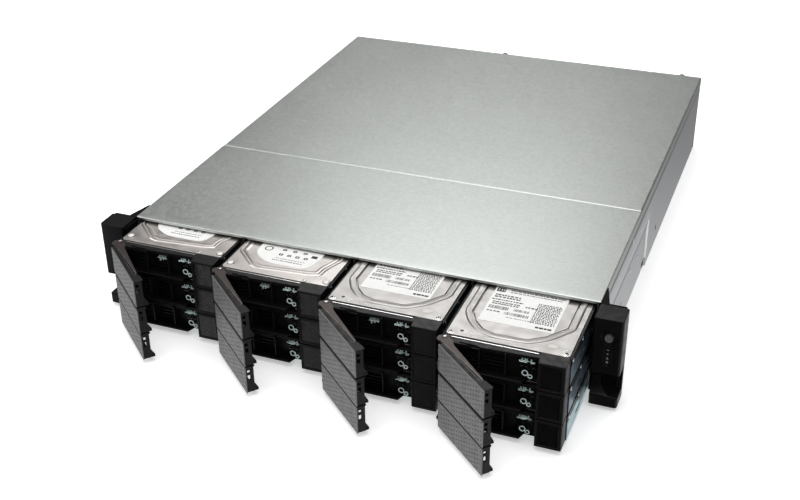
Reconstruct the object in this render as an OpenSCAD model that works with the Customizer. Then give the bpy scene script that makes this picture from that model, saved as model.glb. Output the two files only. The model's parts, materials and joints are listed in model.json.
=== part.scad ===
// Rack storage unit, two rack units high: four columns of three drive trays in front,
// fans and mainboard behind them, two plug-in power supplies at the rear.
// X runs across the rack, Y from front to rear, Z up. The origin is the centre of the flat base.

/* [Chassis] */
// Width of the body between the rack ears
chassis_w = 439; // [438:0.5:440]
// Depth of the body from the front edge of the cover to the rear
chassis_d = 530; // [525:1:560]
// Height of the body
chassis_h = 88; // [88:0.1:88.6]
// Thickness of the steel sheet
sheet = 1.2; // [1:0.1:1.2]
// Depth of the fixed front cover
front_cover_d = 169.5; // [165:0.5:172]
// How far the covers fold down over the side walls
cover_fold_h = 11; // [9:0.5:12]
// Length of the pressed-in area for the rack rails, from the front
rail_recess_len = 224; // [180:1:260]
// Lower edge of the pressed-in area
rail_recess_low = 8; // [6:0.5:12]
// Upper edge of the pressed-in area
rail_recess_high = 59; // [50:0.5:62]
// Depth of the pressed-in area
rail_recess_depth = 1.2; // [0.8:0.1:1.2]

/* [Rack ears] */
// Width over both ears
ear_span = 482.6; // [480:0.2:483]
// How far the ears stand in front of the cover
ear_depth = 24; // [22:0.5:28]
// Height of the ears' lower edge over the base
ear_low = 3; // [2:0.5:4]
// Distance between the rack screws across the rack
rack_hole_span = 465.1; // [464.8:0.1:465.4]
// Height of the rack screws over the base
rack_hole_z = 22; // [21:0.5:24]
// Radius of the slots for the rack screws
rack_hole_r = 3.4; // [3.2:0.1:3.5]
// Length of the slots for the rack screws
rack_slot_len = 10; // [9:0.5:10]
// Length of the gusset behind each ear
gusset_len = 24; // [15:1:30]

/* [Drive bays] */
// Distance between the columns of trays
column_pitch = 108.8; // [108.6:0.1:108.8]
// Distance between the rows of trays
row_pitch = 27; // [27:0.1:27.2]
// Height of the lowest tray over the base
first_tray_z = 4.2; // [3.8:0.1:4.4]
// How far the first column is pulled out
pull_out_1 = 27; // [0:0.5:110]
// How far the second column is pulled out
pull_out_2 = 39.5; // [0:0.5:110]
// How far the third column is pulled out
pull_out_3 = 57.5; // [0:0.5:110]
// How far the fourth column is pulled out
pull_out_4 = 72; // [0:0.5:110]

/* [Trays] */
// Width of a tray over its side rails
tray_w = 104.6; // [104.4:0.1:104.8]
// Height of a tray's plastic front
bezel_h = 25.8; // [25.4:0.1:26]
// Depth of a tray's plastic front
bezel_d = 15; // [14:0.5:16]
// Length of a tray's side rails
rail_l = 138; // [130:1:145]
// Thickness of a tray's side rails
rail_t = 1.3; // [1.2:0.05:1.35]

/* [Handles] */
// How far the handles are swung open
handle_angle = 42; // [0:1:48]
// Distance from the hinge pin to the free end
handle_l = 77.4; // [77:0.1:77.6]
// Height of a handle
handle_h = 26; // [25.6:0.1:26.2]
// Radius of the hinge pin
pin_r = 1.5; // [1.2:0.1:1.8]
// Gap round the hinge pin
pin_gap = 0.05; // [0.03:0.01:0.08]

/* [Drives] */
// Width of a disk drive
drive_w = 101.6; // [101.4:0.1:101.6]
// Length of a disk drive
drive_l = 147; // [145:0.5:147]
// Height of a disk drive
drive_h = 25.4; // [25:0.1:25.4]

/* [Fans and boards] */
// Side of a square fan frame
fan_size = 80; // [80:0.5:81]
// Thickness of a fan frame
fan_d = 38; // [25:1:40]
// Distance between the fans
fan_pitch = 130; // [110:1:134]
// Blades of a fan
fan_blades = 7; // [5:1:9]
// Thickness of a circuit board
board_t = 1.6; // [1.4:0.1:2]

/* [Power supplies] */
// Width of a power supply
psu_w = 101; // [98:0.5:102]
// Height of a power supply
psu_h = 34.5; // [33:0.5:35]
// Length of a power supply
psu_l = 225; // [200:1:230]

/* [Hidden] */
columns = [1:4];
rows = [1:3];
fans = [1:3];
supplies = [1:2];
$fn = 48;

half_w = chassis_w / 2;
front_y = -chassis_d / 2;
rear_y = chassis_d / 2;
ear_half = ear_span / 2;
ear_front = -ear_depth;
pulls = [pull_out_1, pull_out_2, pull_out_3, pull_out_4];
// Thickness of the covers' folds, and the slip gap beside them
fold_t = 1;
slip = 0.1;
joggle_x = half_w - fold_t - slip;
hem_half = joggle_x - sheet - slip;
fold_z = chassis_h - cover_fold_h;
lid_under = chassis_h - sheet;
// Gap between the two covers
cover_gap = 0.6;
// Parts of a tray front, measured from its middle and from its front face
hinge_x = -48.6;
hinge_y = 9.7;
block_left_front = 29.6;
block_left_rear = 27.6;
block_right = 51.5;
bezel_left = -tray_w / 2;
wall_front = 13;
lip_t = 1.2;
lip_front = 4;
lip_notch_x = 16;
lip_notch_y = 11.6;
beam_z = 21.5;
beam_top = 24.4;
post_x = -44.6;
post_front = 5.5;
post_rear = 14;
web_t = 1.2;
web_low_z = 1.6;
web_top_z = handle_h - web_t;
rivet_r = 2.3;
rivet_top = handle_h + 0.7;
// Parts of a handle, measured from its hinge with the handle closed
face_left = 7.5;
face_front = -10.1;
face_t = 1.6;
ledge_rear = -7.1;
web_front = face_front + face_t - 0.1;
drive_front = bezel_d + 0.4;
drive_floor = 1;
// Cage round the trays
cage_front = 1.5;
backplane_y = 141;
cage_rear = backplane_y - 0.5;
cage_wall = 1;
cage_half = half_w - rail_recess_depth - sheet - slip;
cage_top = 85.2;
ledge_z0 = -1.1;
ledge_z1 = -0.1;
ledge_reach = 2.6;
// Boards and fans, from the front of the cover
fan_wall_y = 171;
fan_z = fan_size / 2 + 3;
fan_bore_r = fan_size / 2 - 1.5;
rotor_r = fan_bore_r - 1.2;
rotor_y = 176;
board_z = 8;
board_front = 235;
board_rear = chassis_d - 14;
board_left = -212;
board_right = 98;
// Power supplies
psu_x = 162;
psu_low = 4;
psu_step = 38;
cage_psu_left = 109.5;
cage_psu_right = 214.6;
// Thumbscrews of the rear lid
thumbscrew_x = [-22, 196];
screw_z = 82.5;
screw_r = 4.5;
screw_hole_r = 2.2;
// Slots of the side walls, low at the front and behind the rail recess
wall_slot_y = [271, 276];
wall_slot_z = [16, 21];
foot_slot_y = [212, 220];
foot_slot_z = [-1, 9.5];
bulkhead_h = 74;
// Memory, processor and its cooler on the mainboard
memory_x = -192;
memory_pitch = 9.5;
memory_slot_w = 6;
memory_slot_y = [268, 410];
memory_t = 1.4;
cooler_x = -120;
cooler_y = [278, 368];
cooler_w = 90;
// Button and window in the right ear
button_x = 232.4;
button_z = 70.2;
button_r = 4.6;
window_z = 52.9;
window_r = 3.4;
window_l = 18;

function column_x(c) = (c - 2.5) * column_pitch;
function row_z(r) = first_tray_z + (3 - r) * row_pitch;
// Both ends of a span, from its start and its length, or from its middle
function span(start, length) = [start, start + length];
function around(middle, half) = [middle - half, middle + half];

// A box between two corners, with Y counted from the front edge of the cover
module block(x, y, z) {
    translate([x[0], front_y + y[0], z[0]])
        cube([x[1] - x[0], y[1] - y[0], z[1] - z[0]]);
}

// A box between two corners in the part's own place
module local_block(x, y, z) {
    translate([x[0], y[0], z[0]])
        cube([x[1] - x[0], y[1] - y[0], z[1] - z[0]]);
}

// The same shape on the left and on the right
module both_sides() {
    children();
    mirror([1, 0, 0]) children();
}

// A round bar along Y, with Y counted from the front edge of the cover
module bar_y(x, z, r, y) {
    translate([x, front_y + y[0], z])
        rotate([-90, 0, 0])
            cylinder(h = y[1] - y[0], r = r);
}

// A slot with round ends, along Y, lying across X
module slot_y(x, z, r, length, y) {
    half = length / 2 - r;
    for (side = [-1, 1])
        bar_y(x + side * half, z, r, y);
    block([x - half, x + half], y, [z - r, z + r]);
}

module side_wall() {
    inner = half_w - rail_recess_depth - sheet;
    block([half_w - sheet, half_w], [0, chassis_d], [0, rail_recess_low]);
    block([half_w - sheet, half_w], [0, chassis_d], [rail_recess_high, fold_z - 0.2]);
    block([half_w - sheet, half_w], [rail_recess_len, chassis_d], [rail_recess_low, rail_recess_high]);
    block([inner, inner + sheet], [0, rail_recess_len], [rail_recess_low, rail_recess_high]);
    block([inner, half_w], [0, rail_recess_len], [rail_recess_low - sheet, rail_recess_low]);
    block([inner, half_w], [0, rail_recess_len], [rail_recess_high, rail_recess_high + sheet]);
    block([inner, half_w], [rail_recess_len, rail_recess_len + sheet], [rail_recess_low - sheet, rail_recess_high + sheet]);
    block([joggle_x - sheet, half_w], [0, chassis_d], [fold_z - 0.2 - sheet, fold_z - 0.2]);
    block([joggle_x - sheet, joggle_x], [0, chassis_d - 1.3], [fold_z - 1, lid_under - 0.2]);
}

module chassis_base() {
    color("darkgray") difference() {
        union() {
            block([-half_w, half_w], [0, chassis_d], [0, sheet]);
            both_sides() side_wall();
            block([-half_w + sheet, half_w - sheet], [fan_wall_y, fan_wall_y + sheet], [sheet / 2, bulkhead_h]);
        }
        for (i = fans)
            bar_y((i - 2) * fan_pitch, fan_z, fan_bore_r, [fan_wall_y - 1, fan_wall_y + 3]);
        both_sides()
            block([half_w - 4, half_w + 1], wall_slot_y, wall_slot_z);
        both_sides()
            block([half_w - 4, half_w + 1], foot_slot_y, foot_slot_z);
    }
}

module front_cover() {
    rear = front_cover_d - cover_gap / 2;
    color("lightslategray") {
        block([-half_w, half_w], [0, rear], [lid_under, chassis_h]);
        block([-hem_half, hem_half], [0, sheet], [chassis_h - 2.4, lid_under + 0.1]);
        both_sides()
            block([half_w - fold_t, half_w], [0, rear], [fold_z, lid_under + 0.1]);
    }
}

module rear_lid() {
    front = front_cover_d + cover_gap / 2;
    color("lightslategray") difference() {
        union() {
            block([-half_w, half_w], [front, chassis_d], [lid_under, chassis_h]);
            both_sides()
                block([half_w - fold_t, half_w], [front, chassis_d], [fold_z, lid_under + 0.1]);
            block([-half_w + fold_t, half_w - fold_t], [chassis_d - sheet, chassis_d], [79, lid_under + 0.1]);
        }
        for (x = thumbscrew_x)
            bar_y(x, screw_z, screw_hole_r, [chassis_d - 3, chassis_d + 1]);
    }
}

module lid_thumbscrews() {
    collar_r = 2.9;
    thread_r = 1.9;
    color("silver") for (x = thumbscrew_x) {
        bar_y(x, screw_z, screw_r, [chassis_d + 0.5, chassis_d + 8]);
        bar_y(x, screw_z, collar_r, [chassis_d + 0.02, chassis_d + 1]);
        bar_y(x, screw_z, thread_r, [chassis_d - 8, chassis_d + 0.6]);
    }
}

module rear_panel() {
    y = [chassis_d - sheet - 0.1 - sheet, chassis_d - sheet - 0.1];
    through = [y[0] - 1, y[1] + 1];
    port_window_x = [-206, -56];
    port_window_z = [9, 45];
    vent_w = 10;
    vent_pitch = 15;
    upper_vents_x = -204;
    upper_vents_z = [52, 72];
    tall_vents_x = 54;
    tall_vents_z = [14, 70];
    color("darkgray") difference() {
        block([-joggle_x + sheet + 0.1, joggle_x - sheet - 0.1], y, [sheet + 0.05, lid_under - 0.1]);
        block([cage_psu_left, cage_psu_right], through, [2.4, 78]);
        block(port_window_x, through, port_window_z);
        for (x = thumbscrew_x)
            bar_y(x, screw_z, screw_hole_r, through);
        for (i = [0:9])
            block(span(upper_vents_x + i * vent_pitch, vent_w), through, upper_vents_z);
        for (i = [0:2])
            block(span(tall_vents_x + i * vent_pitch, vent_w), through, tall_vents_z);
    }
}

module side_studs() {
    recess = half_w - rail_recess_depth;
    upper = [[75, 69], [137.5, 73], [176, 66]];
    lower = [[144, 38], [180, 33], [110, 20]];
    color("silver") both_sides() {
        for (p = upper)
            translate([half_w, front_y + p[0], p[1]])
                rotate([0, 90, 0]) cylinder(h = 0.8, r = 2.2);
        for (p = lower)
            translate([recess, front_y + p[0], p[1]])
                rotate([0, 90, 0]) cylinder(h = 0.8, r = 2.2);
    }
}

module ear_brackets() {
    leg = half_w + slip - sheet;
    color("dimgray") both_sides() difference() {
        union() {
            block([leg, ear_half], [-2, -0.1], [ear_low, chassis_h]);
            block([leg, leg + sheet], [-20, -1], [14, 85.4]);
            translate([0, front_y, 20])
                linear_extrude(chassis_h - 20)
                    polygon([
                        [half_w + slip, -1],
                        [half_w + 7.3, -1],
                        [half_w + 1, gusset_len],
                        [half_w + slip, gusset_len]
                    ]);
        }
        slot_y(rack_hole_span / 2, rack_hole_z, rack_hole_r, rack_slot_len, [-4, 2]);
    }
}

// A rack ear's plastic cover, with the pocket for the rack screw
module ear_cover_body() {
    back = -2.1;
    pocket_z = 24;
    difference() {
        translate([0, front_y, ear_low])
            linear_extrude(chassis_h - ear_low)
                polygon([
                    [half_w + slip + 0.1, back],
                    [half_w + slip + 0.1, ear_front + 1.5],
                    [half_w + 1.7, ear_front],
                    [ear_half - 2.5, ear_front],
                    [ear_half, ear_front + 3],
                    [ear_half, back]
                ]);
        bar_y(ear_half - 3.1, pocket_z, 11, [ear_front - 1, 0]);
        block([ear_half - 3.1, ear_half + 1], [ear_front - 1, 0], [pocket_z - 11, pocket_z + 11]);
        translate([half_w - 2, front_y + ear_front - 6, pocket_z])
            rotate([0, 90, 0]) cylinder(h = 30, r = 13);
    }
}

module left_ear_cover() {
    color("black") mirror([1, 0, 0]) ear_cover_body();
}

module right_ear_cover() {
    color("black") difference() {
        ear_cover_body();
        bar_y(button_x, button_z, button_r + 0.3, [ear_front - 1, 0]);
        bar_y(button_x, button_z, 6.2, [ear_front + 4, 0]);
        window_outline(window_r + 0.1, window_l + 0.2, [ear_front - 1, ear_front + 1.7]);
    }
}

// An upright slot with round ends
module window_outline(r, length, y) {
    half = length / 2 - r;
    for (side = [-1, 1])
        bar_y(button_x, window_z + side * half, r, y);
    block([button_x - r, button_x + r], y, [window_z - half, window_z + half]);
}

module power_button() {
    color("dimgray") {
        bar_y(button_x, button_z, button_r, [ear_front - 1, ear_front + 12]);
        bar_y(button_x, button_z, 5.8, [ear_front + 4.3, ear_front + 5.5]);
    }
}

module led_window() {
    color("black")
        window_outline(window_r, window_l, [ear_front + 0.4, ear_front + 1.65]);
}

module drive_cage() {
    color("gainsboro") {
        block([-cage_half, cage_half], [cage_front, cage_rear], [cage_top, cage_top + cage_wall]);
        block([-cage_half, cage_half], [cage_front, cage_rear], [1.4, 2.4]);
        both_sides()
            block([cage_half - cage_wall, cage_half], [cage_front, cage_rear], [2, cage_top + 0.5]);
        for (c = [-1:1])
            block([c * column_pitch - 0.6, c * column_pitch + 0.6], [cage_front, cage_rear], [2, cage_top + 0.5]);
        for (c = columns)
            for (r = rows)
                for (side = [-1, 1])
                    ledge(c, r, side);
    }
}

// A rail that one side of a tray runs on
module ledge(c, r, side) {
    inner = tray_w / 2 - 1;
    outer = c == 4 && side == 1 || c == 1 && side == -1 ? 53 : 54;
    x = column_x(c);
    z = row_z(r);
    block(
        side > 0 ? [x + inner, x + outer] : [x - outer, x - inner],
        [cage_front, cage_rear],
        [z + ledge_z0, z + ledge_z1]
    );
}

module backplane() {
    socket_x = -30;
    socket_w = 33;
    color("darkgreen") {
        difference() {
            block([-214, 214], [backplane_y, backplane_y + board_t], [3, 84]);
            for (c = columns)
                for (r = rows)
                    block(
                        [column_x(c) - 34, column_x(c) + 38],
                        [backplane_y - 1, backplane_y + 3],
                        [row_z(r) + 12, row_z(r) + 21]
                    );
        }
        for (c = columns)
            for (r = rows)
                block(
                    [column_x(c) + socket_x, column_x(c) + socket_x + socket_w],
                    [backplane_y - 5.6, backplane_y + 0.1],
                    [row_z(r) + 2.5, row_z(r) + 8]
                );
    }
}

module fan_frames() {
    front = fan_wall_y + sheet + 0.1;
    rear = front + fan_d;
    color("black") for (i = fans) {
        x = (i - 2) * fan_pitch;
        half = fan_size / 2;
        difference() {
            block([x - half, x + half], [front, rear], [fan_z - half, fan_z + half]);
            bar_y(x, fan_z, fan_bore_r, [front - 1, rear + 1]);
        }
        difference() {
            union() {
                bar_y(x, fan_z, 17, [rear - 8, rear]);
                block([x - fan_bore_r - 1, x + fan_bore_r + 1], [rear - 4, rear], [fan_z - 1.5, fan_z + 1.5]);
                block([x - 1.5, x + 1.5], [rear - 4, rear], [fan_z - fan_bore_r - 1, fan_z + fan_bore_r + 1]);
            }
            bar_y(x, fan_z, pin_r + pin_gap, [rear - 9, rear - 2]);
        }
    }
}

module fan_rotor(i) {
    x = (i - 2) * fan_pitch;
    hub_l = 22;
    shaft_end = fan_wall_y + sheet + fan_d - 4;
    color("dimgray") {
        bar_y(x, fan_z, 16.5, [rotor_y, rotor_y + hub_l]);
        bar_y(x, fan_z, pin_r, [rotor_y + hub_l - 1, shaft_end]);
        for (k = [1:fan_blades])
            translate([x, front_y + rotor_y + hub_l / 2, fan_z])
                rotate([0, k * 360 / fan_blades, 0])
                    translate([0, 0, 15])
                        rotate([0, 0, 38])
                            translate([-12, -0.8, 0])
                                cube([24, 1.6, rotor_r - 17.5]);
    }
}

// A block on the mainboard: corner, size, and its height over the board's top
module on_board(x, y, size, height) {
    top = board_z + board_t;
    block(span(x, size[0]), span(y, size[1]), [top - 0.1, top + height]);
}

module mainboard() {
    middle_x = (board_left + board_right) / 2;
    middle_y = (board_front + board_rear) / 2;
    standoff_r = 3;
    card_slot_pitch = 20.3;
    capacitor_pitch = 11;
    color("darkgreen") {
        block([board_left, board_right], [board_front, board_rear], [board_z, board_z + board_t]);
        for (x = [board_left + 8, middle_x, board_right - 8])
            for (y = [board_front + 8, middle_y, board_rear - 40])
                translate([x, front_y + y, sheet])
                    cylinder(h = board_z - sheet + 0.5, r = standoff_r);
        for (i = [0:3])
            on_board(memory_x + i * memory_pitch, memory_slot_y[0],
                [memory_slot_w, memory_slot_y[1] - memory_slot_y[0]], 5);
        on_board(cooler_x + 22, cooler_y[0] + 22, [46, 46], 4);
        on_board(30, 330, [32, 32], 3);
        for (i = [0:3])
            on_board(-36 + i * card_slot_pitch, 395, [8, 85], 11);
        for (i = [0:5])
            translate([-130 + i * capacitor_pitch, front_y + 376, board_z + board_t - 0.1])
                cylinder(h = 12, r = 4);
    }
}

module heatsink() {
    low = board_z + board_t + 4.1;
    base_t = 6;
    fin_h = 40;
    fin_t = 1.2;
    fin_pitch = 5.22;
    color("silver") {
        block(span(cooler_x, cooler_w), cooler_y, span(low, base_t));
        for (i = [0:17])
            block(span(cooler_x + i * fin_pitch, fin_t), cooler_y, span(low + base_t - 0.1, fin_h + 0.1));
    }
}

module memory_modules() {
    low = board_z + board_t + 5.1;
    high = low + 30;
    inset = (memory_slot_w - memory_t) / 2;
    y = [memory_slot_y[0] + 4, memory_slot_y[1] - 4.6];
    color("seagreen") for (i = [0:3])
        block(span(memory_x + inset + i * memory_pitch, memory_t), y, [low, high]);
}

module io_ports() {
    low = board_z + board_t + 0.1;
    rear = chassis_d - 0.6;
    upper = low + 9;
    network_w = 15.5;
    network_h = 13.5;
    usb_w = 14;
    usb_h = 7.6;
    color("silver") {
        for (i = [0:3])
            port(span(-200 + i * 17, network_w), [rear - 21, rear], span(low, network_h), 1.6);
        for (i = [0:3])
            port(span(-130 + i * 16, usb_w), [rear - 17, rear], span(low, usb_h), 0.9);
        port([-130, -114], [rear - 14, rear], span(upper, 7), 0.9);
        port([-106, -74], [rear - 14, rear], span(upper, 11), 1.4);
    }
}

// A metal port shell with a socket open to the rear
module port(x, y, z, wall) {
    difference() {
        block(x, y, z);
        block([x[0] + wall, x[1] - wall], [y[0] + 4, y[1] + 1], [z[0] + wall, z[1] - wall]);
    }
}

module psu_cage() {
    front = chassis_d - psu_l - 14;
    rear = chassis_d - 2 * sheet - 0.3;
    low = 2;
    high = 79;
    shelf = psu_low + psu_h + 1.2;
    across = [cage_psu_left - sheet, cage_psu_right + sheet];
    along = [front, rear];
    color("lightgray") {
        block([across[0], cage_psu_left], along, [low, high]);
        block([cage_psu_right, across[1]], along, [low, high]);
        block(across, along, [low - 0.7, low + 0.5]);
        block(across, along, [high - 0.5, high + 0.7]);
        block(across, along, [shelf, shelf + 1]);
        block(across, [front, front + sheet], [low, high]);
    }
}

// A plug-in power supply; the second stands over the first
module psu(i) {
    left = psu_x - psu_w / 2;
    right = psu_x + psu_w / 2;
    low = psu_low + (i - 1) * psu_step;
    high = low + psu_h;
    middle = (low + high) / 2;
    front = chassis_d - psu_l;
    inlet = [left + 58, left + 84];
    inlet_half_h = 8.5;
    fan_x = left + 28;
    fan_opening_r = 14.5;
    grip = [left + 8, left + 48];
    grip_half_w = 1.5;
    grip_half_h = 4;
    grip_rear = chassis_d + 18;
    color("lightgray") {
        difference() {
            block([left, right], [front, chassis_d], [low, high]);
            block(inlet, [chassis_d - 15, chassis_d + 1], around(middle, inlet_half_h));
            bar_y(fan_x, middle, fan_opening_r, [chassis_d - 6, chassis_d + 1]);
        }
        for (x = grip)
            block(around(x, grip_half_w), [chassis_d - 1, grip_rear], around(middle, grip_half_h));
        block(
            [grip[0] - grip_half_w, grip[1] + grip_half_w],
            [grip_rear - 2 * grip_half_w, grip_rear],
            around(middle, grip_half_h)
        );
        block([right - 8, right - 2], [chassis_d - 1, chassis_d + 9], [low + 1, low + 6]);
    }
}

// Places a bay's own parts: the middle of the tray, its front face and its bottom
module in_bay(c, r) {
    translate([column_x(c), front_y + ear_front + 0.6 - pulls[c - 1], row_z(r)])
        children();
}

module tray(c, r) {
    rail_x = tray_w / 2;
    color("black") in_bay(c, r) {
        bezel_block();
        local_block([bezel_left, block_right], [wall_front, bezel_d], [0, beam_top]);
        local_block([bezel_left, lip_notch_x], [lip_front, bezel_d], [0, lip_t]);
        local_block([lip_notch_x - 1, block_left_rear + 1], [lip_notch_y, bezel_d], [0, lip_t]);
        beam();
        local_block([bezel_left, post_x], [post_front, post_rear], [web_low_z + web_t + 0.3, web_top_z - 0.4]);
        translate([hinge_x, hinge_y, 0.5])
            cylinder(h = handle_h, r = pin_r);
        translate([hinge_x, hinge_y, handle_h + 0.05])
            cylinder(h = rivet_top - handle_h - 0.05, r = rivet_r);
        for (side = [-1, 1])
            local_block(
                side > 0 ? [rail_x - rail_t, rail_x] : [-rail_x, -rail_x + rail_t],
                [bezel_d - 1, bezel_d + rail_l],
                [0.2, 24.4]
            );
        difference() {
            local_block([-rail_x + 0.5, rail_x - 0.5], [bezel_d - 1, bezel_d + rail_l], [0.2, 0.8]);
            local_block([-rail_x + 12, rail_x - 12], [bezel_d + 12, bezel_d + rail_l - 12], [0, 1]);
        }
    }
}

// The solid right end of a tray's front
module bezel_block() {
    linear_extrude(bezel_h)
        polygon([
            [block_left_front, 0],
            [block_right, 0],
            [block_right, bezel_d],
            [block_left_rear, bezel_d]
        ]);
}

// The bar over the opening in a tray's front
module beam() {
    translate([0, 0, beam_z])
        linear_extrude(beam_top - beam_z)
            polygon([
                [post_x - 1, post_front],
                [block_left_front, 8.5],
                [block_left_rear + 1, bezel_d],
                [post_x - 1, bezel_d]
            ]);
}

module handle(c, r) {
    color("dimgray") in_bay(c, r)
        translate([hinge_x, hinge_y, 0])
            rotate(-handle_angle)
                difference() {
                    union() {
                        handle_face();
                        for (z = [web_low_z, web_top_z])
                            handle_web(z);
                        handle_tip();
                    }
                    translate([0, 0, -1])
                        cylinder(h = handle_h + 2, r = pin_r + pin_gap);
                }
}

module handle_face() {
    local_block([face_left, handle_l], [face_front, face_front + face_t], [0, handle_h]);
    for (z = [0, handle_h - web_t])
        local_block([face_left, handle_l - 1.5], [face_front, ledge_rear], [z, z + web_t]);
}

// A steel lever plate: round the pin, with a claw in front of it, narrowing to the free end
module handle_web(z) {
    translate([0, 0, z])
        linear_extrude(web_t)
            polygon([
                [-2.9, 0.5],
                [-1.7, 2.4],
                [2, 2.9],
                [face_left, 2.9],
                [66, -3.4],
                [66, web_front],
                [face_left, web_front],
                [face_left - 0.2, -7.4],
                [3.2, -6],
                [1.2, -7.4],
                [-1.2, -7],
                [-3.8, -4]
            ]);
}

// The end wall with its two windows, and the hook at its foot
module handle_tip() {
    wall_t = 1.6;
    wall_rear = -2.2;
    outer = handle_l - 1;
    difference() {
        local_block([outer - wall_t, outer], [face_front + 0.5, wall_rear], [0, handle_h]);
        for (z = [14, 19.5])
            local_block([outer - wall_t - 1, outer + 1], [-7.6, -3.8], [z, z + 4]);
    }
    local_block([65, outer], [face_front + 0.5, wall_rear], [handle_h - web_t, handle_h]);
    local_block([70, outer - 0.6], [face_front + 0.5, 1.4], [0, 1.4]);
    local_block([70, outer - 0.6], [wall_rear - 1, 1.4], [0, 4.4]);
}

module drive(c, r) {
    half = drive_w / 2;
    front = drive_front;
    rear = drive_front + drive_l;
    high = drive_floor + drive_h;
    color("silver") in_bay(c, r) difference() {
        union() {
            local_block([-half, half], [front, rear], [drive_floor, high - 2]);
            local_block([-half + 0.6, half - 0.6], [front + 0.6, rear - 12], [high - 2.1, high]);
        }
        local_block([-half + 6, half - 6], [front + 8, rear - 8], [drive_floor - 1, drive_floor + 4]);
        local_block([-34, 6], [rear - 7, rear + 1], [drive_floor - 1, drive_floor + 8]);
    }
}

chassis_base();
front_cover();
rear_lid();
rear_panel();
lid_thumbscrews();
side_studs();
ear_brackets();
left_ear_cover();
right_ear_cover();
power_button();
led_window();
drive_cage();
backplane();
fan_frames();
mainboard();
heatsink();
memory_modules();
io_ports();
psu_cage();
for (i = fans)
    fan_rotor(i);
for (i = supplies)
    psu(i);
for (c = columns, r = rows) {
    tray(c, r);
    handle(c, r);
    drive(c, r);
}
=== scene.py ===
import json
import math
import random

import bmesh
import bpy
from mathutils import Matrix, Vector
from mathutils.geometry import tessellate_polygon


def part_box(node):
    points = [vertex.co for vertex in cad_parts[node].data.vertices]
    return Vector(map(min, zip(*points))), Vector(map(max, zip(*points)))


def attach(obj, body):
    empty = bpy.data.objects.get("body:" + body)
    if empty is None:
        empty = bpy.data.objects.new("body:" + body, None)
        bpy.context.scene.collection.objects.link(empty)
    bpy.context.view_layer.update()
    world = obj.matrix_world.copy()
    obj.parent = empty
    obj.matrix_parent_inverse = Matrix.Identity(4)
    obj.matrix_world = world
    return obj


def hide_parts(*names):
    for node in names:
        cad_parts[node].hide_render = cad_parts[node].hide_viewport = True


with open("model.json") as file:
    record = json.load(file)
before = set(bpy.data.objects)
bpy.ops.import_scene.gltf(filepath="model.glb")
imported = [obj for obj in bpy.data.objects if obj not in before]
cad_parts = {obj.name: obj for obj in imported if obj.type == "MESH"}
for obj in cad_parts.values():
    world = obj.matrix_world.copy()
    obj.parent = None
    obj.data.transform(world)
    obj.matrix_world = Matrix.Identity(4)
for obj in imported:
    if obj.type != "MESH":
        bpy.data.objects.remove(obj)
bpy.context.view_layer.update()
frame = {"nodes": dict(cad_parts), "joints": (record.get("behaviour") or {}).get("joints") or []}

MM = 0.001
COLUMNS = (1, 2, 3, 4)
ROWS = (1, 2, 3)
TOP_ROW, LOW_ROW = ROWS[0], ROWS[-1]
# Columns 1 and 2 hold the warm drives and get the lighter domes, which paint the reflection of the next handle's holes.
WARM_COLUMNS = REFLECTED_DOT_COLUMNS = (1, 2)
# Columns whose top trays get a bright spring piece as a painted highlight.
HIGHLIGHT_COLUMNS = (1, 2, 3)
SMOOTH = math.radians(32)

HORIZON, ZENITH = 0.20, 1.42
FLOOR_NEAR, FLOOR_WIDE, FLOOR_FRONT = 0.80, 0.12, 0.03
BACK_GLOW, BACKDROP = 0.55, 0.96
PAPER_GLOW = 0.42

LENS_MM, SENSOR_MM = 53.52, 36
CAMERA_PLACE = (0.36710, -1.08956, 0.60326)
CAMERA_TURN, CAMERA_RISE, CAMERA_ROLL = 21.40, 29.47, -0.675


# ---------------------------------------------------------------- camera and stage

def place_camera():
    """A 53.5 mm lens where the photograph was taken from, as fitted to the unit's corners."""
    turn, rise, roll = (math.radians(a) for a in (CAMERA_TURN, CAMERA_RISE, CAMERA_ROLL))
    back = Vector((math.sin(turn) * math.cos(rise), -math.cos(turn) * math.cos(rise), math.sin(rise)))
    right = Vector((math.cos(turn), math.sin(turn), 0))
    up = back.cross(right)
    across = right * math.cos(roll) + up * math.sin(roll)
    upright = up * math.cos(roll) - right * math.sin(roll)
    data = bpy.data.cameras.new("camera")
    data.sensor_width, data.lens = SENSOR_MM, LENS_MM
    data.clip_start, data.clip_end = 0.05, 100
    camera = bpy.data.objects.new("camera", data)
    bpy.context.scene.collection.objects.link(camera)
    axes = Matrix((across, upright, back)).transposed().to_4x4()
    camera.matrix_world = Matrix.Translation(CAMERA_PLACE) @ axes
    bpy.context.scene.camera = camera


def softbox(name, place, target, size, power):
    """A rectangular lamp that faces a point."""
    data = bpy.data.lights.new(name, "AREA")
    data.shape = "RECTANGLE"
    data.size, data.size_y = size
    data.energy = power
    lamp = bpy.data.objects.new(name, data)
    bpy.context.scene.collection.objects.link(lamp)
    way = Vector(target) - Vector(place)
    lamp.rotation_mode = "QUATERNION"
    lamp.rotation_quaternion = way.to_track_quat("-Z", "Y")
    lamp.location = place


class Nodes:
    """A node tree that is built up one step at a time."""

    def __init__(self, tree):
        self.tree = tree

    def add(self, kind, **values):
        """A node, with values for its sockets or its properties."""
        node = self.tree.nodes.new(kind)
        for key, value in values.items():
            if key in node.inputs:
                node.inputs[key].default_value = value
            else:
                setattr(node, key, value)
        return node

    def link(self, source, target):
        self.tree.links.new(source, target)

    def spread(self, value, start, end, low, high):
        """Carries the span from start to end over to low to high."""
        node = self.add("ShaderNodeMapRange", interpolation_type="SMOOTHSTEP")
        for socket, number in zip(("From Min", "From Max", "To Min", "To Max"), (start, end, low, high)):
            node.inputs[socket].default_value = number
        self.link(value, node.inputs["Value"])
        return node.outputs["Result"]

    def combine(self, operation, first, second):
        """A product, sum or the like of two sockets, or of a socket and a number."""
        node = self.add("ShaderNodeMath", operation=operation)
        for socket, value in zip(node.inputs, (first, second)):
            if isinstance(value, float):
                socket.default_value = value
            else:
                self.link(value, socket)
        return node.outputs[0]


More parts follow.
